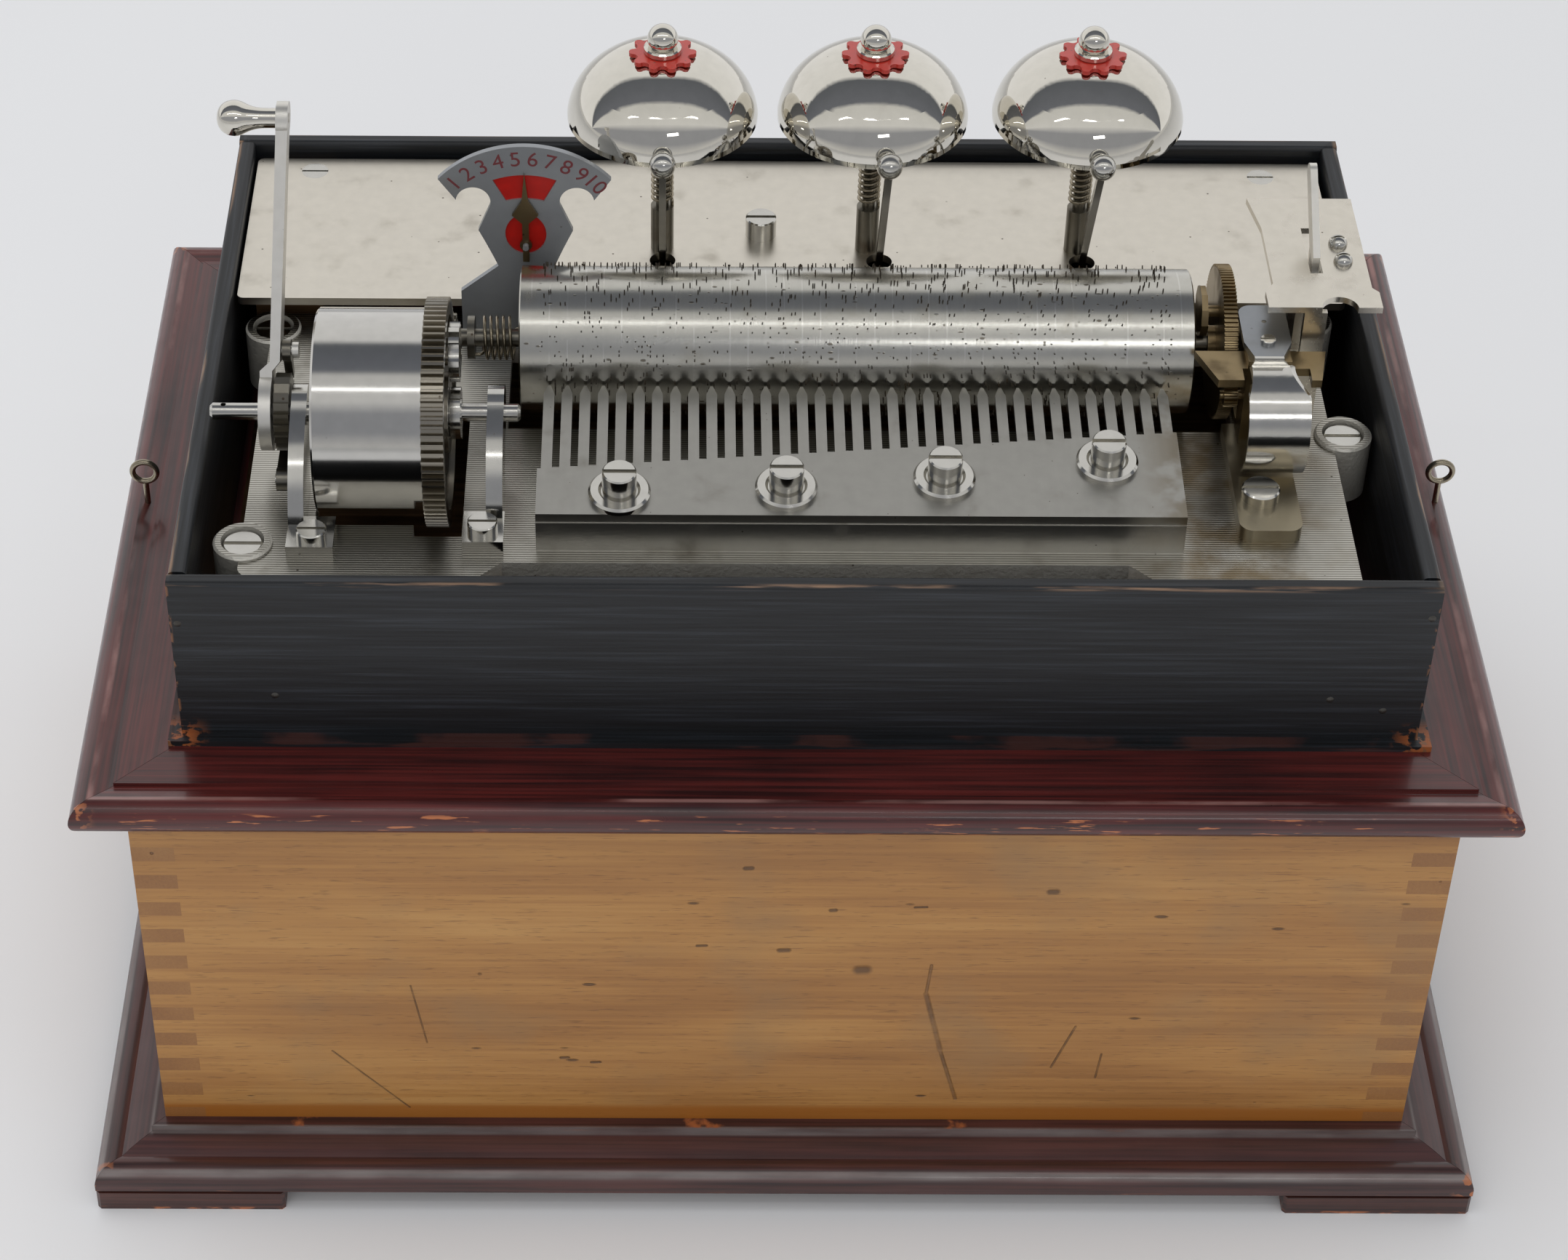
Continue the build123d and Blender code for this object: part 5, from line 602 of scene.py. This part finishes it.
plain = Finish("plain_inner_wood", rough=0.7)
plain_grain = plain.noise((60, 1.5, 1.5), detail=5.0)
plain.colour(plain.shades(plain_grain, (0.35, tint(92, 66, 42)), (0.65, tint(140, 108, 74))))
plain.relief(plain_grain, 0.08, 0.5)
dress(plain, "bottom_board", "sound_board", "deck_blocks")

# %% [markdown]
# ## Metals
# Nickel, steel, cast iron and old brass differ in three things: their colour, how sharply
# they mirror the room, and the way they have aged. One function makes them all. Tarnish is
# a cloud of brown that is also rougher, specks are tiny rust pits, and brushing is noise
# that is stretched along the direction in which the file or the lathe tool ran.


# %% Metal finishes
SHADED = 0.86  # how much darker the dull clouds of a metal are


def metal(
    name, tone, rough, aged, tarnish=0.3, haze=0.15,
    specks=0.0, brush=None, pit=0.09, pit_cell=2.2, polish=0.05,
):
    """Old metal of one tone, with tarnish, rust specks and the lines of brushing."""
    made = Finish(name, metal=1.0, rough=rough)
    clouds = made.noise((9, 9, 9), detail=6.0)
    shaded = (*(channel * SHADED for channel in tone[:3]), 1.0)
    colour = made.mix(made.noise((3, 3, 3), detail=4.0, shift=5.0), tone, shaded)
    dull = made.band(clouds, 0.62 - 0.3 * tarnish, 0.92 - 0.3 * tarnish)
    colour = made.mix(made.times(dull, min(1.0, tarnish * 1.6)), colour, aged)
    wear = dull
    if specks:
        rust = made.spots((pit_cell, pit_cell, pit_cell), pit / 0.5, specks, shift=1.0)
        colour = made.mix(made.times(rust, 0.8), colour, tint(70, 56, 42))
        wear = made.most(dull, rust)
    if brush:
        lines = made.noise(brush, detail=3.0, shift=2.0)
        wear = made.plus(made.times(wear, 0.6), made.times(lines, 0.4))
        made.relief(lines, 0.012, 0.5)
    made.colour(colour)
    made.roughness(wear, rough, rough + haze)
    if polish:
        made.relief(made.noise((1.1, 1.1, 1.1), detail=3.0, shift=7.0), 0.01, polish)
    made.tone = colour
    return made


RUST_BROWN = tint(96, 78, 56)
WARM_GREY = tint(150, 142, 126)
STEEL = tint(204, 202, 196)

dress(
    metal(
        "bell_nickel", tint(224, 220, 210), 0.035, WARM_GREY, tarnish=0.12, haze=0.1,
        specks=0.06, pit_cell=2.6, pit=0.05, polish=0.0,
    ),
    "bells", "bell_nuts", "lever_knob",
)
dress(
    metal(
        "deck_nickel", tint(222, 216, 204), 0.26, WARM_GREY, tarnish=0.25, haze=0.2,
        specks=0.16, pit_cell=3.2, pit=0.05, brush=(30, 1.2, 1.2),
    ),
    "deck_plate",
)
dress(
    metal(
        "control_nickel", tint(220, 214, 202), 0.22, WARM_GREY, tarnish=0.25, haze=0.2,
        specks=0.12, pit_cell=3.0, pit=0.05, brush=(1.2, 26, 1.2),
    ),
    "control_plate",
)
dress(
    metal(
        "barrel_nickel", tint(205, 203, 198), 0.1, WARM_GREY, tarnish=0.12, haze=0.12,
        specks=0.05, pit_cell=2.6, pit=0.05, brush=(0.35, 14, 14),
    ),
    "barrel_drum",
)
dress(
    metal("bright_steel", STEEL, 0.14, RUST_BROWN, tarnish=0.16, haze=0.22, specks=0.06, pit=0.05),
    "bedplate_screws", "comb_screws", "comb_washers", "control_screws",
    "movement_screws", "deck_screws", "left_cock", "right_cock", "barrel_arbor", "hammer_1", "hammer_2",
    "hammer_3", "stop_finger", "stop_star", "governor_guard",
)
dress(
    metal(
        "lever_steel", tint(236, 233, 226), 0.42, WARM_GREY, tarnish=0.15, haze=0.2,
        specks=0.08, pit=0.05,
    ),
    "winding_lever", "stop_lever",
)
dress(
    metal(
        "dial_steel", tint(150, 153, 157), 0.3, tint(120, 116, 106), tarnish=0.2, haze=0.15,
        specks=0.05, brush=(1.0, 1.0, 9),
    ),
    "endstone_plate",
)
dress(
    metal("old_steel", tint(128, 124, 114), 0.3, RUST_BROWN, tarnish=0.4, haze=0.2, specks=0.1),
    "ratchet_wheel", "lever_pawl", "click", "hammer_rail", "bell_posts", "mainspring", "worm_fly",
    "cylinder_arbor", "drive_pinion",
)
dress(
    metal("spring_wire", tint(166, 156, 136), 0.26, RUST_BROWN, tarnish=0.35, haze=0.2),
    "cylinder_spring", "bell_springs", "screw_eyes",
)
dress(
    metal("wheel_steel", tint(158, 152, 140), 0.24, RUST_BROWN, tarnish=0.3, haze=0.2, specks=0.1),
    "great_wheel",
)
dress(
    metal("brown_brass", tint(150, 132, 100), 0.3, tint(92, 78, 58), tarnish=0.45, haze=0.22, specks=0.1),
    "cylinder_wheel", "cylinder_bearings", "change_snail", "indicator_pointer", "governor_wheel",
)

BRACKET_FOOT_Z = (162.5, 160.8)
bracket = metal(
    "bracket_brass", tint(150, 132, 100), 0.3, tint(92, 78, 58), tarnish=0.45, haze=0.22,
    specks=0.1,
)
on_bed = bracket.band(bracket.z, *BRACKET_FOOT_Z)
bracket.colour(bracket.mix(bracket.times(on_bed, 0.8), bracket.tone, tint(168, 160, 140)))
dress(bracket, "governor_frame")

# %% [markdown]
# ## The planed bedplate
# The bed is cast iron, planed flat on top and nickelled. The planer left fine ridges about
# three quarters of a millimetre apart, which catch the light as thin lines along the box.
# They could be geometry, but hundreds of ridges cost a lot, so a sine wave along Y makes
# them in the bump. The casting skin below the planed top stays grainy.

# %% Bedplate and comb
RIDGE = 0.76
GRUBBY_FROM_X = (62.0, 92.0)
GRUBBY_TO_X = (128.0, 102.0)
COMB_END_X = (72.0, 86.0)

bed = metal(
    "planed_bed", tint(206, 203, 194), 0.3, tint(112, 98, 72), tarnish=0.3, haze=0.2,
    specks=0.1, pit_cell=3.0, pit=0.06, polish=0.0,
)
waviness = bed.times(bed.noise((60, 6, 6)), 0.6)
ridges = bed.math("SINE", bed.plus(bed.times(bed.y, 2 * math.pi / RIDGE), waviness))
planed = bed.band(bed.node("SeparateXYZ", bed.facing).outputs[2], 0.9, 0.98)
wave = bed.times(bed.plus(bed.times(ridges, 0.5), 0.5), planed)
# painted shade: the troughs between the planed ridges are coloured darker
groove_shade = bed.times(bed.band(wave, 0.75, 0.1), planed)
colour = bed.mix(bed.times(groove_shade, 0.7), bed.tone, tint(96, 92, 82))
grubby = bed.times(bed.band(bed.x, *GRUBBY_FROM_X), bed.band(bed.x, *GRUBBY_TO_X))
smears = bed.band(bed.noise((12, 12, 12), detail=5.0, shift=4.0), 0.4, 0.65)
colour = bed.mix(bed.times(bed.times(grubby, smears), 0.75), colour, tint(118, 98, 62))
bed.colour(colour)
bed.plug(bed.shader.inputs["Metallic"], bed.plus(bed.times(planed, 0.65), 0.35))
bed.relief(wave, 0.05, 0.55)
skin = bed.times(bed.noise((0.9, 0.9, 0.9), detail=5.0), bed.minus(1.0, planed))
bed.relief(skin, 0.3, 0.8)
dress(bed, "bedplate")

base = metal(
    "cast_comb_base", tint(200, 198, 192), 0.36, tint(120, 110, 90), tarnish=0.25, haze=0.2,
    specks=0.1, pit_cell=2.4, pit=0.06,
)
base.relief(base.noise((0.7, 0.7, 0.7), detail=5.0, shift=3.0), 0.08, 0.5)
dress(base, "comb_base")

comb = metal(
    "ground_comb", tint(174, 172, 166), 0.34, tint(118, 110, 94), tarnish=0.22, haze=0.15,
    specks=0.2, pit_cell=1.6, pit=0.05, brush=(0.6, 16, 16),
)
comb_smears = comb.band(comb.noise((8, 8, 8), shift=3.0), 0.4, 0.6)
comb_ends = comb.times(comb.band(comb.x, *COMB_END_X), comb_smears)
comb.colour(comb.mix(comb.times(comb_ends, 0.6), comb.tone, tint(112, 96, 66)))
dress(comb, "comb")

# %% [markdown]
# ## The cylinder and its tune pins
# The brass cylinder was once bright. Each comb tooth has worn a faint ring around it, and
# spots have grown between the pins. A picture wrapped around it would show a seam, so the
# rings and spots come from the place on the cylinder: the fraction of X over one tooth.

# %% Cylinder finish
COMB_FROM = -56.7
COMB_TEETH = 35
TOOTH_PITCH = 140.9 / COMB_TEETH
CYLINDER_AXIS = Vector((0.0, 1.3, 171.4))
CYLINDER_R = 16.4

drum = metal(
    "cylinder_brass", tint(200, 198, 190), 0.17, tint(160, 152, 132), tarnish=0.3, haze=0.18,
    specks=0.0, brush=(0.3, 20, 20), polish=0.0,
)
track_place = drum.math("DIVIDE", drum.minus(drum.x, COMB_FROM), TOOTH_PITCH)
track_offset = drum.math("ABSOLUTE", drum.minus(drum.math("FRACT", track_place), 0.5))
worn_through = drum.band(drum.noise((3, 14, 14), shift=2.0), 0.45, 0.6)
tracks = drum.times(drum.band(track_offset, 0.06, 0.01), worn_through)
colour = drum.mix(drum.times(tracks, 0.6), drum.tone, tint(214, 212, 206))
spots = drum.most(drum.spots((1.5, 1.3, 1.3), 0.22, 0.3), drum.spots((2.6, 1.2, 1.2), 0.3, 0.22, shift=5.0))
crowded = drum.band(drum.noise((14, 9, 9), detail=3.0, shift=8.0), 0.42, 0.56)
marks = drum.times(spots, crowded)
colour = drum.mix(drum.times(marks, 0.75), colour, tint(88, 76, 58))
drum.colour(colour)
drum.relief(marks, 0.04, 0.5)
dress(drum, "cylinder_shell")

# %% [markdown]
# ## The tune pins
# Ten tunes lie side by side under each tooth, about a third of a millimetre apart, and
# every note is a steel pin driven into the brass. Painted dots would vanish at the outline,
# so the pins are real: thousands of tapered prisms in one mesh. The notes come in clusters,
# because music does, so the angles are drawn from a bar pattern and not evenly.

# %% Tune pins
PIN_LONG = 0.82
PIN_R = 0.15
PIN_LEAN = 0.12
PIN_SUNK = 0.2
TUNE_SHIFT = 0.36
TUNES = 10
NOTES = (3, 11)
BARS = 24


def pin_angles(chance, notes):
    """Angles of one tune's notes on one tooth, gathered in a few bars of the music."""
    busy = [chance.randrange(BARS) for _ in range(3)]
    angles = []
    for _ in range(notes):
        bar = chance.choice(busy) if chance.random() < 0.5 else chance.randrange(BARS)
        beat = chance.choice((0.0, 0.25, 0.5, 0.75))
        angles.append((bar + beat + chance.uniform(-0.02, 0.02)) * 2 * math.pi / BARS)
    return angles


def add_pin(points, faces, x, angle, lean):
    """A square steel pin that stands out of the cylinder and narrows to its tip."""
    outward = Vector((0.0, math.cos(angle), math.sin(angle)))
    around = Vector((0.0, -math.sin(angle), math.cos(angle)))
    sideways = Vector((1.0, 0.0, 0.0))
    foot = CYLINDER_AXIS + outward * (CYLINDER_R - PIN_SUNK) + sideways * x
    tip = CYLINDER_AXIS + outward * (CYLINDER_R + PIN_LONG) + sideways * x + around * lean
    first = len(points)
    for centre, radius in ((foot, PIN_R), (tip, PIN_R * 0.75)):
        for across, along in ((-1, -1), (1, -1), (1, 1), (-1, 1)):
            points.append((centre + (sideways * across + around * along) * radius) * MM)
    faces.extend((first + i, first + (i + 1) % 4, first + 4 + (i + 1) % 4, first + 4 + i) for i in range(4))
    faces.append((first + 4, first + 5, first + 6, first + 7))


def mesh_piece(name, points, faces, finish, body, smooth=False):
    """Makes a mesh, dresses it, and lets it ride on a body of the movement."""
    mesh = bpy.data.meshes.new(name)
    mesh.from_pydata([tuple(p) for p in points], [], faces)
    mesh.update()
    if smooth:
        mesh.polygons.foreach_set("use_smooth", [True] * len(mesh.polygons))
    mesh.materials.append(finish.material)
    piece = bpy.data.objects.new(name, mesh)
    bpy.context.scene.collection.objects.link(piece)
    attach(piece, body)
    print(name, "has", len(faces), "faces")


pin_steel = metal("pin_steel", tint(66, 60, 52), 0.45, RUST_BROWN, tarnish=0.4, haze=0.2)
chance = random.Random(35)
pin_points = []
pin_faces = []
for tooth in range(COMB_TEETH):
    tooth_x = COMB_FROM + TOOTH_PITCH * (tooth + 0.5)
    for tune in range(TUNES):
        x = tooth_x + (tune - (TUNES - 1) / 2) * TUNE_SHIFT
        for angle in pin_angles(chance, chance.randrange(*NOTES)):
            add_pin(pin_points, pin_faces, x, angle, chance.uniform(-PIN_LEAN, PIN_LEAN))
mesh_piece("tune_pins", pin_points, pin_faces, pin_steel, "cylinder")

# %% [markdown]
# ## The tune dial
# The dial is a small steel shield with two sunk windows of red enamel, and the numbers of
# the ten tunes stamped along its arc. The enamel lies on the floor of the windows, so one
# finish can hold both: where the surface is sunk and faces the front it is red. The digits
# are text objects turned into thin meshes, each turned to follow the arc.

# %% Dial finish and numbers
DIAL_X = -60.9
DIAL_FACE_Y = 22.0
ENAMEL_Y = (22.25, 22.4)
DIAL_CENTRE_Z = 183.0
NUMBER_R = 22.7
NUMBER_TALL = 5.4
NUMBER_STEP = 9.9
NUMBER_THICK = 0.04

dial = metal(
    "shield_steel", tint(150, 153, 157), 0.26, tint(120, 116, 106), tarnish=0.25, haze=0.18,
    specks=0.05, brush=(8, 8, 1.0),
)
facing_front = dial.band(dial.node("SeparateXYZ", dial.facing).outputs[1], -0.5, -0.8)
sunk = dial.times(dial.band(dial.y, *ENAMEL_Y), facing_front)
enamel = dial.mix(dial.noise((2, 2, 2), detail=4.0), tint(196, 28, 20), tint(160, 22, 18))
dial.colour(dial.mix(sunk, dial.tone, enamel))
dial.plug(dial.shader.inputs["Metallic"], dial.times(dial.minus(1.0, sunk), 0.4))
dress(dial, "indicator_dial")

stamped = Finish("stamped_number", rough=0.6, metal=0.3)
stamped.colour(stamped.mix(stamped.noise((1, 1, 1), detail=4.0), tint(124, 42, 50), tint(120, 74, 76)))
stamped.relief(stamped.noise((0.3, 0.3, 0.3)), 0.02, 0.5)


def number_mesh(text, angle):
    """The points and faces of one number, standing on the arc of the dial."""
    curve = bpy.data.curves.new("number", "FONT")
    curve.body = text
    curve.size = NUMBER_TALL * MM
    curve.extrude = NUMBER_THICK * MM
    curve.align_x = "CENTER"
    curve.align_y = "CENTER"
    curve.resolution_u = 4
    holder = bpy.data.objects.new("number", curve)
    bpy.context.scene.collection.objects.link(holder)
    bpy.context.view_layer.update()
    flat = bpy.data.meshes.new_from_object(holder.evaluated_get(bpy.context.evaluated_depsgraph_get()))
    x = DIAL_X + NUMBER_R * math.sin(angle)
    z = DIAL_CENTRE_Z + NUMBER_R * math.cos(angle)
    turned = Matrix.Rotation(angle, 4, "Y") @ Matrix.Rotation(math.pi / 2, 4, "X")
    stand = Matrix.Translation(Vector((x, DIAL_FACE_Y, z)) * MM) @ turned
    points = [stand @ v.co for v in flat.vertices]
    faces = [tuple(p.vertices) for p in flat.polygons]
    bpy.data.objects.remove(holder)
    return points, faces


dial_points = []
dial_faces = []
for tune in range(TUNES):
    angle = math.radians((tune - (TUNES - 1) / 2) * NUMBER_STEP)
    points, faces = number_mesh(str(tune + 1), angle)
    first = len(dial_points)
    dial_points.extend(points)
    dial_faces.extend(tuple(first + i for i in face) for face in faces)
mesh_piece("dial_numbers", dial_points, dial_faces, stamped, "case")

# %% [markdown]
# ## Red washers
# Under each bell nut lies a washer stamped like a small flower and enamelled red. The
# enamel is glossy and chipped at the rim, so a clear coat goes over a slightly uneven red.

# %% Washer enamel
red = Finish("red_enamel", rough=0.35, coat=0.7, coat_rough=0.12)
chipped = red.band(red.noise((0.9, 0.9, 0.9), detail=4.0), 0.66, 0.72)
red_tone = red.mix(red.noise((3, 3, 3), detail=3.0, shift=2.0), tint(190, 48, 34), tint(158, 34, 26))
red.colour(red.mix(chipped, red_tone, tint(96, 60, 50)))
red.relief(chipped, 0.05, 0.6)
dress(red, "bell_washers")

# %% [markdown]
# ## The worm of the air brake
# The fly is spun by a worm, a screw with one thread that the last wheel pushes round. In
# the CAD solid it is a plain rod, so that it can turn freely at any angle. Here a ridge is
# swept around it. A screw modifier could do it, but two loops of points are as short.

# %% Worm thread
WORM_X, WORM_Y = 104.3, -9.5
WORM_R = 1.8
WORM_LOW, WORM_HIGH = 165.0, 176.0
THREAD_PITCH = 1.45
THREAD_SECTION = ((-0.1, 0.0), (0.24, 0.45), (0.24, 0.75), (-0.1, 1.2))
STEPS_PER_TURN = 24

worm_points = []
worm_faces = []
steps = int((WORM_HIGH - WORM_LOW - THREAD_PITCH) / THREAD_PITCH * STEPS_PER_TURN)
for step in range(steps + 1):
    turn = 2 * math.pi * step / STEPS_PER_TURN
    z = WORM_LOW + THREAD_PITCH * step / STEPS_PER_TURN
    for stand, rise in THREAD_SECTION:
        radius = WORM_R + stand
        x = WORM_X + radius * math.cos(turn)
        y = WORM_Y + radius * math.sin(turn)
        worm_points.append(Vector((x, y, z + rise)) * MM)
    if step:
        a = 4 * (step - 1)
        worm_faces.extend((a + i, a + (i + 1) % 4, a + 4 + (i + 1) % 4, a + 4 + i) for i in range(4))
worm_faces.append((3, 2, 1, 0))
worm_faces.append(tuple(4 * steps + i for i in range(4)))
thread_steel = metal("thread_steel", tint(150, 146, 136), 0.25, RUST_BROWN, tarnish=0.3, haze=0.2)
mesh_piece("worm_thread", worm_points, worm_faces, thread_steel, "governor_fly", smooth=True)

# %% [markdown]
# ## Nails in the tray
# The front board of the tray is nailed at its ends. The heads are small worn discs, a
# little domed and not quite round, so each is a fan inside a ring, both with a wobble.

# %% Nail heads
NAIL_R = 0.95
NAIL_DOME = 0.25
NAIL_CORNERS = 12
TRAY_FRONT_Y = -82.0
NAILS = ((-131.9, 157.4), (-112.6, 137.0), (134.0, 160.5), (115.2, 137.2), (127.0, 134.0))
nail_points = []
nail_faces = []
chance = random.Random(7)
for x, z in NAILS:
    first = len(nail_points)
    nail_points.append(Vector((x, TRAY_FRONT_Y - NAIL_DOME, z)) * MM)
    for share in (0.6, 1.0):
        for nail_corner in range(NAIL_CORNERS):
            turn = 2 * math.pi * nail_corner / NAIL_CORNERS
            reach = NAIL_R * share * chance.uniform(0.94, 1.04)
            dome = NAIL_DOME * (1 - share ** 2) - (0.05 if share == 1.0 else 0.0)
            rim_x = x + reach * math.cos(turn)
            rim_z = z + reach * math.sin(turn)
            nail_points.append(Vector((rim_x, TRAY_FRONT_Y - dome, rim_z)) * MM)
    inner = first + 1
    outer = inner + NAIL_CORNERS
    for i in range(NAIL_CORNERS):
        j = (i + 1) % NAIL_CORNERS
        nail_faces.append((first, inner + i, inner + j))
        nail_faces.append((inner + i, outer + i, outer + j, inner + j))
nail_iron = metal("nail_iron", tint(92, 90, 86), 0.45, tint(60, 46, 36), tarnish=0.5, haze=0.2)
mesh_piece("tray_nails", nail_points, nail_faces, nail_iron, "case", smooth=True)
